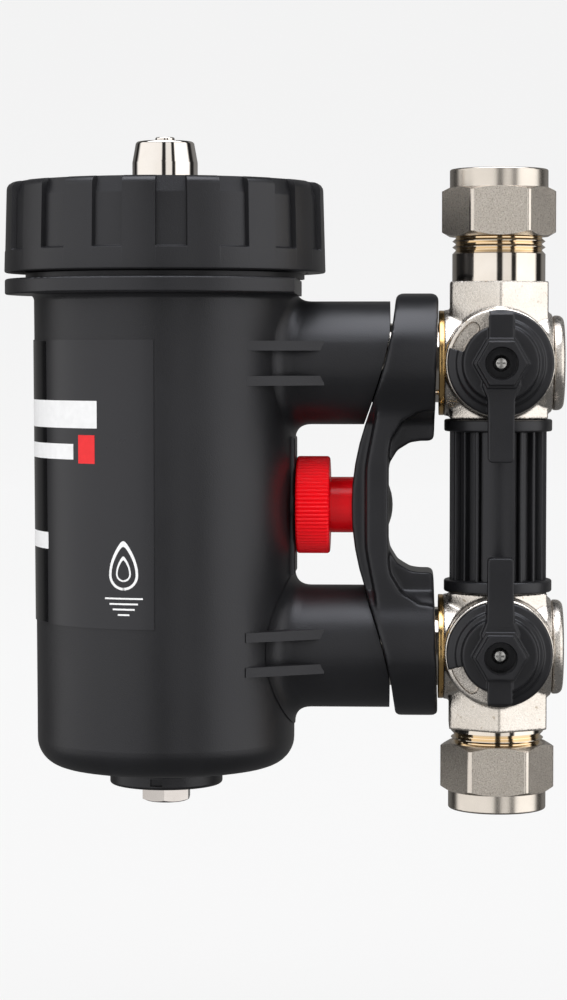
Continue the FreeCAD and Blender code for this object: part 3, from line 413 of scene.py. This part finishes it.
def plain_seal(name, colour, other, low, high, scale):
    material, tree, shader, place = surface(name, 0.0, low)
    grain = noise(tree, place, scale)
    tree.links.new(blend(tree, spread(tree, grain, 0.0, 1.0), colour, other), shader.inputs["Base Color"])
    tree.links.new(spread(tree, grain, low, high), shader.inputs["Roughness"])
    roughen(tree, shader, grain, 0.00003)
    return material


rubber = plain_seal("seal_rubber", (0.012, 0.012, 0.012), (0.02, 0.02, 0.02), 0.45, 0.62, 900.0)
white_seat = plain_seal("white_seat", (0.80, 0.80, 0.78), (0.72, 0.72, 0.70), 0.35, 0.45, 500.0)
wear(chrome, "upper_ball", "lower_ball")
wear(white_seat, "upper_ball_seats", "lower_ball_seats")
wear(rubber, "upper_stem_o_ring", "lower_stem_o_ring", "upper_spigot_o_rings", "lower_spigot_o_rings")
wear(brass, "upper_stem", "lower_stem", "upper_stem_gland", "lower_stem_gland")
wear(steel, "upper_spigot_circlip", "lower_spigot_circlip")


# ---- End plugs ------------------------------------------------------------------------------
# Screwed into the side away from the canister, with a rounded cast rim and a bar inside it for
# the key. They wear the same plate as the forgings.

def plug(side):
    z = VALVE_HEIGHTS["upper"]
    shell = lathe([(0, 13.1), (9.2, 13.1), (9.2, 10.95), (12.9, 10.95), (12.9, 16.35), (14.4, 16.35, 0.5),
                   (14.35, 19.7, 1.9), (9.6, 19.7, 0.6), (9.2, 17.6), (0, 17.6)], (0, 0, z), (1, 0, 0))
    bar = prism([(-9.8, z - 2.0), (9.8, z - 2.0), (9.8, z + 2.0), (-9.8, z + 2.0)], 17.0, 19.2, "yzx")
    body = cast([shell, bar], 0.3, 4)
    fit(side + "_end_plug", body, forging_skin, "valve_set", 40.0, side == "lower",
        [side + "_valve_plug"])


for side in ("upper", "lower"):
    plug(side)


# ---- Compression nuts and olives ------------------------------------------------------------
# Nickel-plated nuts: the hexagon's flats keep the pitted forged skin, and the rounded corners,
# the chamfers and the collar are turned smooth. A brass olive sits inside each.

def nut_material():
    material, tree, shader, place = surface("nickel_on_nut", 1.0, 0.2)
    side = add(tree, "TexCoord").outputs["Normal"]
    x, y, z = add(tree, "SeparateXYZ", {0: side}).outputs
    turn = sum_of(tree, "DIVIDE", sum_of(tree, "ARCTAN2", y, x), math.pi / 3)
    off = sum_of(tree, "ABSOLUTE", sum_of(tree, "SUBTRACT", sum_of(tree, "FRACT", turn), 0.5))
    flat = sum_of(tree, "LESS_THAN", off, 0.02)
    level = sum_of(tree, "LESS_THAN", sum_of(tree, "ABSOLUTE", z), 0.05)
    px, py, _ = add(tree, "SeparateXYZ", {0: place}).outputs
    reach = from_axis(tree, px, py)
    outside = sum_of(tree, "GREATER_THAN", reach, 0.01515)
    forged = sum_of(tree, "MULTIPLY", sum_of(tree, "MULTIPLY", flat, level), outside)
    grain = noise(tree, place, 2600.0, 4.0, 0.7)
    cloud = noise(tree, place, 80.0)
    pits = spread(tree, noise(tree, place, 2300.0, 3.0), 0.0, 1.0, 0.50, 0.64)
    tint = blend(tree, spread(tree, cloud, 0.0, 1.0), DULLER_NICKEL, (0.70, 0.645, 0.58))
    dark = sum_of(tree, "MULTIPLY", forged, pits)
    tree.links.new(blend(tree, dark, tint, (0.48, 0.42, 0.36)), shader.inputs["Base Color"])
    rough = sum_of(tree, "MULTIPLY", forged, spread(tree, grain, 0.22, 0.42))
    smooth = sum_of(tree, "MULTIPLY", sum_of(tree, "SUBTRACT", 1.0, forged), spread(tree, cloud, 0.20, 0.27))
    tree.links.new(sum_of(tree, "ADD", rough, smooth), shader.inputs["Roughness"])
    roughen(tree, shader, sum_of(tree, "MULTIPLY", grain, forged), 0.00014)
    return material


nut_plate = nut_material()
wear(nut_plate, "upper_nut", "lower_nut")
wear(brass, "upper_olive", "lower_olive")


# ---- Spacer tube ----------------------------------------------------------------------------
# Moulded black nylon between the valves, slid on to the feet of the forgings. Fine ribs run down
# it between two collars, and a smooth panel faces the front.

def moulded(name, colour, lighter, low, high, grain_depth=0.00003, specular=0.5):
    """Glass-filled nylon as it leaves a spark-eroded mould."""
    material, tree, shader, place = surface(name, 0.0, low, Specular_IOR_Level=specular)
    shader.inputs["Specular Tint"].default_value = (0.93, 0.94, 1.0, 1.0)
    grain = noise(tree, place, 2600.0, 2.0)
    cloud = noise(tree, place, 35.0)
    tree.links.new(blend(tree, spread(tree, cloud, 0.0, 1.0), colour, lighter), shader.inputs["Base Color"])
    tree.links.new(spread(tree, cloud, low, high), shader.inputs["Roughness"])
    roughen(tree, shader, grain, grain_depth)
    return material


black_nylon = moulded("black_nylon", (0.0050, 0.0050, 0.0056), (0.0070, 0.0070, 0.0078), 0.30, 0.38)


def spacer():
    low, high, collar, root = 66.55, 118.95, 3.6, 12.9
    tube = lathe([(11.3, low), (16.4, low, 0.6), (16.4, low + collar, 0.6), (root, low + collar + 0.3),
                  (root, high - collar - 0.3), (16.4, high - collar, 0.6), (16.4, high, 0.6), (11.3, high)],
                 segments=192)
    ribs = [tube]
    for angle in (27.5, 46, 65, 84, 102.5, 121, 140, 160):
        for sign in (-1, 1):
            outline = rounded([(root - 0.6, -0.85), (14.75, -0.5, 0.35),
                               (14.75, 0.5, 0.35), (root - 0.6, 0.85)])
            rib = prism(outline, low + collar - 0.2, high - collar + 0.2)
            rib.transform(Matrix.Rotation(math.radians(-90 + sign * angle), 4, "Z"))
            ribs.append(rib)
    half, thick = math.radians(19.0), 14.4
    face = [(thick * math.sin(half * s / 6), -thick * math.cos(half * s / 6)) for s in range(-6, 7)]
    inner = [(11.6 * math.sin(half * s / 6), -11.6 * math.cos(half * s / 6)) for s in range(6, -7, -1)]
    ribs.append(prism(face + inner, low + collar - 0.2, high - collar + 0.2))
    fit("spacer_tube", joined(ribs), black_nylon, "valve_set", 32.0,
        replaces=["valve_spacer"])


spacer()


# ---- Bridge ---------------------------------------------------------------------------------
# One black nylon moulding: two sleeves over the valve spigots, run together by a bowed web with
# a round-cornered opening on the valve side. The knob's shaft goes through a boss in its middle.

def bridge():
    half, sleeve_r, plate_half = 64.35, 21.1, 16.5
    z = MIDDLE_Z
    upper_left = [(-31.0, half, 2.0), (-32.8, 46.6, 110.0), (-44.4, 12.9, 76.0)]
    left = [(x, z + up, round_r) for x, up, round_r in upper_left]
    left += [(x, z - up, round_r) for x, up, round_r in reversed(upper_left)]

    def side_view(lip_x, open_z, round_r):
        right = [(-18.2, z - half, 2.0), (lip_x, z - open_z, 1.6), (-33.3, z - open_z, round_r),
                 (-33.3, z + open_z, round_r), (lip_x, z + open_z, 1.6), (-18.2, z + half, 2.0)]
        return rounded(left + right)

    whole = prism(side_view(-19.6, 19.8, 9.5), -30.0, 30.0, "xzy")
    heights = VALVE_HEIGHTS.values()
    sleeves = [turned_rod(sleeve_r, 40.0, (-52.0, 0, height), (1, 0, 0), 192) for height in heights]
    core = prism([(-60, 49.5), (-15, 49.5), (-15, 136.0), (-60, 136.0)], -11.0, 11.0, "xzy")
    spine = modified(joined(sleeves + [core]), "REMESH", mode="VOXEL", voxel_size=0.45)
    spine = both(spine, whole)
    plate = prism(rounded([
        (-33.2, z + 47.0), (-40.0, z + 12.0, 40.0), (-40.0, z - 12.0, 40.0), (-33.2, z - 47.0),
        (-19.2, z - 47.0), (-19.2, z - 29.5), (-33.3, z - 29.5, 13.5), (-33.3, z + 29.5, 13.5),
        (-19.2, z + 29.5), (-19.2, z + 47.0)]), -22.0, 22.0, "xzy")
    edge = []
    for step in range(-47, 48):
        off_port = 43.25 - abs(step)
        sleeve = math.sqrt(max(0.0, sleeve_r ** 2 - off_port ** 2))
        swell = 0.9 * math.exp(-abs(sleeve - plate_half) / 1.6)
        edge.append((max(plate_half, sleeve) + swell, z + step))
    waist = prism(edge + [(-y, up) for y, up in reversed(edge)], -50.0, -10.0, "yzx")
    plate = both(plate, waist)
    body = cast([spine, plate], 0.45, 16)
    along = (1, 0, 0)
    tools = [turned_rod(8.6, 60.0, (-60.0, 0, z), along), turned_rod(10.6, 10.0, (-36.3, 0, z), along)]
    for height in heights:
        tools += [turned_rod(12.1, 60.0, (-60.0, 0, height), along)]
        tools += [turned_rod(16.0, 32.0, (-60.0, 0, height), along)]
    fit("bridge_moulding", cut(body, tools), black_nylon, "valve_set", 50.0,
        replaces=["bridge"])


bridge()
wear(black_nylon, "knob_cap")


# ---- Red knob -------------------------------------------------------------------------------
# Moulded in glossy red with fine ridges round its rim. Its smooth shaft turns in the bridge, is
# kept there by a circlip, and a brass insert inside it runs on the stud.

red_plastic = moulded("red_plastic", (0.86, 0.004, 0.010), (0.76, 0.003, 0.008), 0.20, 0.27, 0.00001, 0.3)


def knob():
    left, ridges, samples = -61.3, 72, 10
    line = rounded([(6.0, 0), (14.85, 0, 0.9), (14.85, 10.2, 0.9), (8.5, 10.2, 0.5), (8.5, 25.2),
                    (7.6, 25.2), (7.6, 26.5), (8.5, 26.5), (8.5, 26.7), (5.1, 26.7), (5.1, 12.2),
                    (7.0, 12.2), (7.0, 2.0), (6.0, 2.0)])
    full = []
    for i, point in enumerate(line):
        full.append(point)
        following = line[(i + 1) % len(line)]
        if point.x > 14.7 and following.x > 14.7 and (following - point).length > 3:
            full += [point.lerp(following, share) for share in (0.03, 0.5, 0.97)]
    verts, faces = [], []
    count = ridges * samples
    for step in range(count):
        angle = 2 * math.pi * step / count
        valley = 0.5 - 0.5 * math.cos(2 * math.pi * step / samples)
        dip = 0.5 * valley ** 1.6
        for r, h in full:
            share = min(1.0, max(0.0, (r - 13.6) / 0.8))
            reach = r - dip * share
            verts.append((left + h, reach * math.sin(angle), MIDDLE_Z + reach * math.cos(angle)))
    rows = len(full)
    for step in range(count):
        a, b = step * rows, (step + 1) % count * rows
        faces += [(a + i, b + i, b + (i + 1) % rows, a + (i + 1) % rows) for i in range(rows)]
    fit("ridged_knob", mesh_from(verts, faces, "knob"), red_plastic, "knob_set", 45.0,
        replaces=["red_knob"])


knob()
wear(brass, "knob_thread_insert")
wear(steel, "knob_circlip", "captive_stud")


# ---- Canister -------------------------------------------------------------------------------
# Injection-moulded charcoal nylon, open at the top, with the two ports and their ribs moulded on.
# A rounded fillet runs round the root of each port.

charcoal = moulded("charcoal_nylon", (0.0060, 0.0060, 0.0066), (0.0085, 0.0085, 0.0094), 0.33, 0.42, 0.00004)
wear(charcoal, "canister_body")
CANISTER_X = -101.5


def port_fillet(name, height):
    """A band that sweeps round the port's root, tangent to the port and to the barrel."""
    port_r, barrel_r, size, around, across = 18.7, 39.75, 5.0, 120, 8
    verts, faces = [], []

    def on_barrel(reach, angle):
        y = reach * math.sin(angle)
        return Vector((CANISTER_X + math.sqrt(barrel_r ** 2 - y ** 2), y, height + reach * math.cos(angle)))

    for step in range(around):
        angle = 2 * math.pi * step / around
        root = on_barrel(port_r, angle)
        far = root + Vector((size, 0, 0))
        outer = on_barrel(port_r + size, angle)
        for i in range(across + 1):
            t = i / across
            verts.append(far * (1 - t) ** 2 + root * 2 * t * (1 - t) + outer * t ** 2)
        verts.append(root - Vector((2.0, 0, 0)))
    rows = across + 2
    for step in range(around):
        a, b = step * rows, (step + 1) % around * rows
        faces += [(a + i, b + i, b + (i + 1) % rows, a + (i + 1) % rows) for i in range(rows)]
    fit(name, mesh_from(verts, faces, name), charcoal, "canister_set", 60.0)


port_fillet("upper_port_fillet", VALVE_HEIGHTS["upper"])
port_fillet("lower_port_fillet", VALVE_HEIGHTS["lower"])


# ---- Label ----------------------------------------------------------------------------------
# Printed film wrapped on the barrel: satin black, with plain bars, a red square and a small drop
# in ink. The marks stand for lettering and aren't a maker's.

film = moulded("label_film", (0.0085, 0.0085, 0.0095), (0.0105, 0.0105, 0.0115), 0.26, 0.31, 0.000004)
wear(film, "label")
gloss_film = moulded("gloss_film", (0.0030, 0.0030, 0.0034), (0.0040, 0.0040, 0.0044), 0.10, 0.14, 0.000002)
white_ink = plain_seal("white_ink", (0.78, 0.78, 0.78), (0.72, 0.72, 0.72), 0.35, 0.42, 400.0)
red_ink = plain_seal("red_ink", (0.72, 0.010, 0.015), (0.66, 0.008, 0.012), 0.35, 0.42, 400.0)
INK = 0.035


def film_radius(z):
    """Outside of the film on the tapered barrel."""
    return 40.0 - 0.6 * (156.7 - z) / 142.7 + 0.28


def on_film(arc, z, lift):
    """A point on the film: arc is in millimetres round the barrel from the front, right is positive."""
    angle = arc / 40.0
    reach = film_radius(z) + lift
    return (CANISTER_X + reach * math.sin(angle), -reach * math.cos(angle), z)


def printed(name, bands, ink, lift=INK):
    """Thin ink strips: each band is a list of (lower point, upper point) pairs in (arc, z)."""
    verts, faces = [], []
    for band in bands:
        for pair in band:
            for height in (0.005, lift):
                verts += [on_film(arc, z, height) for arc, z in pair]
        first = len(verts) - 4 * len(band)
        for i in range(len(band) - 1):
            a, b = first + 4 * i, first + 4 * i + 4
            faces += [(a + 2, b + 2, b + 3, a + 3), (a, a + 1, b + 1, b)]
            faces += [(a, b, b + 2, a + 2), (a + 1, a + 3, b + 3, b + 1)]
        last = first + 4 * (len(band) - 1)
        faces += [(first, first + 2, first + 3, first + 1), (last, last + 1, last + 3, last + 2)]
    fit(name, mesh_from(verts, faces, name), ink, "canister_set", 30.0)


def bar(start, end, low, high):
    """A plain bar of ink, between two arcs and two heights."""
    steps = max(2, int((end - start) / 2))
    arcs = [start + (end - start) * i / steps for i in range(steps + 1)]
    return [((arc, low), (arc, high)) for arc in arcs]


def drop(centre, low, high, width, thick):
    """Outline of a water drop: round below, drawn to a point above."""
    radius = width / 2
    middle = low + radius
    pairs = []
    for step in range(41):
        t = -math.pi / 2 + 2 * math.pi * step / 40
        x, z = radius * math.cos(t), radius * math.sin(t)
        if z > 0:
            rise = (high - middle) / radius
            x, z = x * (1 - 0.45 * math.sin(t) ** 2), z * rise
        scale = 1 - thick / radius
        pairs.append(((centre + x * scale, middle + z * scale), (centre + x, middle + z)))
    return pairs


printed("label_panel", [bar(-86.0, -40.0, 58.4, 142.6)], gloss_film, 0.02)
printed("label_bars", [bar(-84.0, -17.6, 116.9, 125.0), bar(-84.0, -26.4, 107.6, 112.2),
                       bar(-84.0, -39.4, 80.5, 85.5)], white_ink)
printed("label_square", [bar(-24.4, -18.4, 106.5, 114.9)], red_ink)
printed("label_drop", [drop(-9.2, 69.5, 84.0, 9.0, 0.75), drop(-9.2, 72.0, 79.5, 4.6, 0.5)], white_ink)
printed("label_lines", [bar(-15.1, -3.3, 66.8, 67.3), bar(-13.6, -4.8, 65.2, 65.7),
                        bar(-12.6, -5.8, 63.6, 64.1), bar(-11.0, -7.4, 62.0, 62.5)], white_ink)


# ---- Magnet cartridge -----------------------------------------------------------------------
# A stack of magnets and pole pieces on a rod, in a closed stainless sheath that hangs in the
# canister's neck. A moulded cage of rings and bars clips round it.

magnet_plate = turned_metal("plated_magnet", (0.42, 0.42, 0.43), (0.32, 0.32, 0.33), 0.25, 0.38)
wear(steel, "magnet_sheath", "magnet_tie_rod", "magnet_plug", "pole_pieces")
wear(magnet_plate, "magnets")
wear(black_nylon, "collector_cage")


# ---- Lid ------------------------------------------------------------------------------------
# Screw lid in the same charcoal nylon. Sixteen shallow finger recesses are moulded in the rim,
# each with sharp sides, a ledge below and open above, where it leans in; the top is dished.

def lid():
    top, low, under = 190.4, 163.3, 182.2
    slope_z, recess, half_width = 185.6, 1.45, 5.5
    line = rounded([
        (43.5, low, 0.3), (48.9, low, 0.6), (48.15, top, 2.3), (39.6, top, 0.8), (38.0, top - 2.4, 1.0),
        (14.5, top - 2.4, 1.2), (13.0, top, 0.8), (7.0, top), (7.0, under), (32.2, under),
        (32.2, under - 7.0, 0.5), (38.2, under - 7.0, 0.5), (38.2, under - 5.4), (36.0, under - 5.4),
        (36.0, under - 2.2), (38.2, under - 2.2), (38.2, under), (43.5, under)])
    full = []
    for i, point in enumerate(line):
        full.append(point)
        following = line[(i + 1) % len(line)]
        if point.x > 48 and following.x > 48 and (following - point).length > 15:
            for z in (169.7, 169.9, 170.1, 170.3, 173.0, 178.0, 183.0, 185.3, slope_z, 185.9, 186.6, 187.4,
                      187.9):
                share = (z - point.y) / (following.y - point.y)
                if 0 < share < 1:
                    full.append(point.lerp(following, share))
    offsets = [-5.75, -half_width, -5.35, -5.2, -5.0, -3.6, -1.8, 0.0, 1.8, 3.6, 5.0, 5.2, 5.35, half_width,
               5.75, 7.5, 9.3, 11.2, 13.1, 14.9]
    verts, faces = [], []
    angles = [(7.1 + 22.5 * k + offset, offset) for k in range(16) for offset in offsets]

    def smooth(value):
        value = min(1.0, max(0.0, value))
        return value * value * (3 - 2 * value)

    for degrees, offset in angles:
        inside = smooth((half_width - abs(offset)) / 0.3)
        angle = math.radians(degrees - 90)
        for r, z in full:
            depth = recess * smooth((z - 169.8) / 0.4) + 0.31 * max(0.0, z - slope_z)
            wall = 48.9 - 0.0277 * (z - low)
            reach = r - inside * max(0.0, r - wall + depth) * (depth > 0)
            verts.append((CANISTER_X + reach * math.cos(angle), reach * math.sin(angle), z))
    rows, count = len(full), len(angles)
    for step in range(count):
        a, b = step * rows, (step + 1) % count * rows
        faces += [(a + i, b + i, b + (i + 1) % rows, a + (i + 1) % rows) for i in range(rows)]
    fit("screw_lid", mesh_from(verts, faces, "lid"), charcoal, "lid_set", 32.0,
        replaces=["lid"])


lid()
wear(rubber, "lid_o_ring")


# ---- Bleed valve and drain ------------------------------------------------------------------
# A plated hand knob over a brass seat in the lid's boss, and a plated hexagon plug in a brass
# insert under the canister, each sealed with a rubber ring.

dull_plate = turned_metal("dull_plate", (0.56, 0.53, 0.51), (0.48, 0.45, 0.43), 0.10, 0.16)
wear(chrome, "bleed_knob")
wear(dull_plate, "drain_plug")
wear(brass, "bleed_seat", "drain_insert")
wear(rubber, "bleed_o_ring", "drain_o_ring")


# ---- Levers ---------------------------------------------------------------------------------
# Black nylon levers pushed on the stems' squares. A skirt covers the boss, with a window over the
# stop groove, and a stepped hub carries a hexagon, the lever and a short tail. A screw holds each.

def lever(side):
    z, back = VALVE_HEIGHTS["upper"], -20.9
    turn = (0, -1, 0)
    skirt = lathe([(0, 0), (15.85, 0), (15.85, 3.4, 0.9), (13.4, 4.0), (12.9, 4.9, 0.3), (11.6, 5.2),
                   (11.1, 6.9, 0.5), (0, 6.9)], (0, back, z), turn)
    window = []
    for step in range(9):
        angle = math.radians(103.0 + 60.0 * step / 8)
        window.append((30 * math.cos(angle), z + 30 * math.sin(angle)))
    for step in range(8, -1, -1):
        angle = math.radians(103.0 + 60.0 * step / 8)
        window.append((11.5 * math.cos(angle), z + 11.5 * math.sin(angle)))
    skirt = cut(skirt, [prism(window, back - 12.0, back + 2.0, "xzy")])
    tower = [prism([(x, y + z) for x, y in polygon(14.4, 0.0)], back - 11.3, back - 3.0, "xzy"),
             prism([(x, y + z) for x, y in polygon(12.6, 0.0)], back - 14.3, back - 10.0, "xzy")]
    arm = prism(rounded([
        (-4.3, z + 2), (-5.6, z - 6.5), (-3.95, z - 10.5, 4.0), (-3.8, z - 29.2, 1.2), (3.8, z - 29.2, 1.2),
        (3.95, z - 10.5, 4.0), (5.6, z - 6.5), (4.3, z + 2)]), back - 10.6, back - 3.3, "xzy")
    tail = prism(rounded([(-3.7, z - 2), (-3.7, z + 14.6, 0.8), (3.7, z + 14.6, 0.8), (3.7, z - 2)]),
                 back - 7.6, back - 0.4, "xzy")
    body = cast([skirt, arm, tail] + tower, 0.23, 5)
    finger_angle = math.radians(225.0)
    finger_r = 13.1
    foot = (finger_r * math.cos(finger_angle), back + 1.9, z + finger_r * math.sin(finger_angle))
    finger = turned_rod(1.5, 3.5, foot, turn, 32)
    square = prism([(-3.0, z - 3.0), (3.0, z - 3.0), (3.0, z + 3.0), (-3.0, z + 3.0)],
                   back - 5.2, back + 1.0, "xzy")
    rim = lathe([(0, 6.0), (4.6, 6.0), (4.6, 13.8), (5.4, 15.0), (0, 15.0)], (0, back, z), turn)
    body = cut(body, [rim, square, turned_rod(1.8, 8.0, (0, back, z), turn, 32)])
    fit(side + "_lever", joined([body, finger]), black_nylon, side + "_handle_set", 40.0,
        side == "lower", [side + "_handle"])


for side in ("upper", "lower"):
    lever(side)
wear(steel, "upper_handle_screw", "lower_handle_screw")


# ---- Studio ---------------------------------------------------------------------------------
# A pale paper sweep and soft lights. Metal and satin plastic see tall soft boxes at the sides,
# one wide one overhead, and dark gaps between them that give the plate its streaks.

def sweep():
    """A pale floor that curves up into a back wall."""
    floor_z, back_y, radius, half_width = -0.075, 5.0, 1.6, 9.0
    profile = [(-6.0, floor_z), (back_y - radius, floor_z)]
    for step in range(1, 17):
        angle = math.pi / 2 * step / 16
        y, z = back_y - radius + radius * math.sin(angle), floor_z + radius - radius * math.cos(angle)
        profile.append((y, z))
    profile.append((back_y, 9.0))
    verts = [(x, y, z) for x in (-half_width, half_width) for y, z in profile]
    count = len(profile)
    data = bpy.data.meshes.new("floor")
    data.from_pydata(verts, [], [(i, i + 1, count + i + 1, count + i) for i in range(count - 1)])
    data.shade_smooth()
    piece = bpy.data.objects.new("floor", data)
    bpy.context.scene.collection.objects.link(piece)
    piece.visible_glossy = False
    material, tree, shader, place = surface("pale_paper", 0.0, 0.9)
    shade = noise(tree, place, 3.0)
    paper = blend(tree, spread(tree, shade, 0.0, 1.0), (0.020, 0.020, 0.020), (0.019, 0.019, 0.019))
    tree.links.new(paper, shader.inputs["Base Color"])
    shader.inputs["Emission Color"].default_value = (1.0, 1.0, 1.0, 1.0)
    shader.inputs["Emission Strength"].default_value = 0.855
    data.materials.append(material)


sweep()


def soft_box(name, place, aim, size, power):
    """A rectangular soft light that shapes the dull surfaces."""
    data = bpy.data.lights.new(name, "AREA")
    data.shape = "RECTANGLE"
    data.size, data.size_y = size
    data.energy = power
    lamp = bpy.data.objects.new(name, data)
    lamp.location = place
    lamp.rotation_euler = (Vector(aim) - Vector(place)).to_track_quat("-Z", "Y").to_euler()
    lamp.visible_glossy = False
    bpy.context.scene.collection.objects.link(lamp)


centre = (-0.06, 0.0, 0.1)
soft_box("left_light", (-0.9, -0.9, 0.5), centre, (0.6, 1.4), 9.0)
soft_box("right_light", (1.0, -0.6, 0.4), centre, (0.4, 1.4), 8.0)
soft_box("top_light", (0.0, 0.1, 1.3), centre, (1.2, 0.9), 14.0)
soft_box("back_light", (0.3, 1.2, 0.7), centre, (1.2, 0.9), 8.0)

# What glossy surfaces see: bearing from the camera side in degrees, left is negative, and light.
SOFT_BOXES = [(-180, 0.22), (-134, 0.12), (-128, 0.02), (-116, 0.02), (-104, 1.15), (-8, 1.08),
              (-5, 0.03), (6, 0.03), (9, 1.00), (28, 1.00), (31, 0.03), (40, 0.03), (44, 1.55),
              (98, 1.45), (106, 0.02), (122, 0.02), (132, 0.22), (180, 0.22)]


def studio_world():
    world = bpy.data.worlds.new("studio")
    world.use_nodes = True
    bpy.context.scene.world = world
    tree = world.node_tree
    x, y, z = add(tree, "SeparateXYZ", {0: add(tree, "TexCoord").outputs["Generated"]}).outputs
    bearing = sum_of(tree, "ARCTAN2", x, sum_of(tree, "MULTIPLY", y, -1.0))
    turn = sum_of(tree, "ADD", sum_of(tree, "DIVIDE", bearing, 2 * math.pi), 0.5)
    ramp = add(tree, "ValToRGB", {"Fac": turn})
    stops = ramp.color_ramp.elements
    while len(stops) < len(SOFT_BOXES):
        stops.new(0.5)
    for stop, (degrees, light) in zip(stops, SOFT_BOXES):
        stop.position = degrees / 360 + 0.5
        stop.color = (light / 2, light / 2 * 0.985, light / 2 * 0.965, 1.0)
    doubling = {"Fac": 1.0, "Color1": ramp.outputs["Color"], "Color2": (2.0, 2.0, 2.0, 1.0)}
    full = add(tree, "MixRGB", doubling, blend_type="MULTIPLY")
    low = spread(tree, z, 0.0, 1.0, -0.42, -0.25)
    high = spread(tree, z, 1.0, 0.0, 0.52, 0.62)
    front = spread(tree, y, 1.0, 0.0, 0.10, 0.22)
    top = sum_of(tree, "MULTIPLY", spread(tree, z, 0.0, 1.0, 0.72, 0.80), front)
    seen = blend(tree, low, (0.12, 0.12, 0.12), full.outputs[0])
    seen = blend(tree, high, (0.02, 0.02, 0.02), seen)
    seen = blend(tree, top, seen, (4.0, 4.05, 4.2))
    path = add(tree, "LightPath").outputs
    dull = blend(tree, path["Is Diffuse Ray"], seen, (0.42, 0.42, 0.43))
    final = blend(tree, path["Is Camera Ray"], dull, (0.913, 0.913, 0.913))
    background = tree.nodes["Background"]
    tree.links.new(final, background.inputs["Color"])
    background.inputs["Strength"].default_value = 1.0


studio_world()

scene = bpy.context.scene
scene.view_settings.view_transform = "Standard"
eye = Vector((-0.0261, -0.856, 0.140))
aim = Vector((-0.0654, 0.0, 0.0941))
lens = bpy.data.cameras.new("camera")
lens.sensor_fit = "VERTICAL"
lens.sensor_height = 36.0
lens.sensor_width = 36.0
lens.lens = 101.0
lens.clip_start = 0.05
lens.clip_end = 20.0
camera = bpy.data.objects.new("camera", lens)
camera.location = eye
camera.rotation_euler = (aim - eye).to_track_quat("-Z", "Y").to_euler()
scene.collection.objects.link(camera)
scene.camera = camera
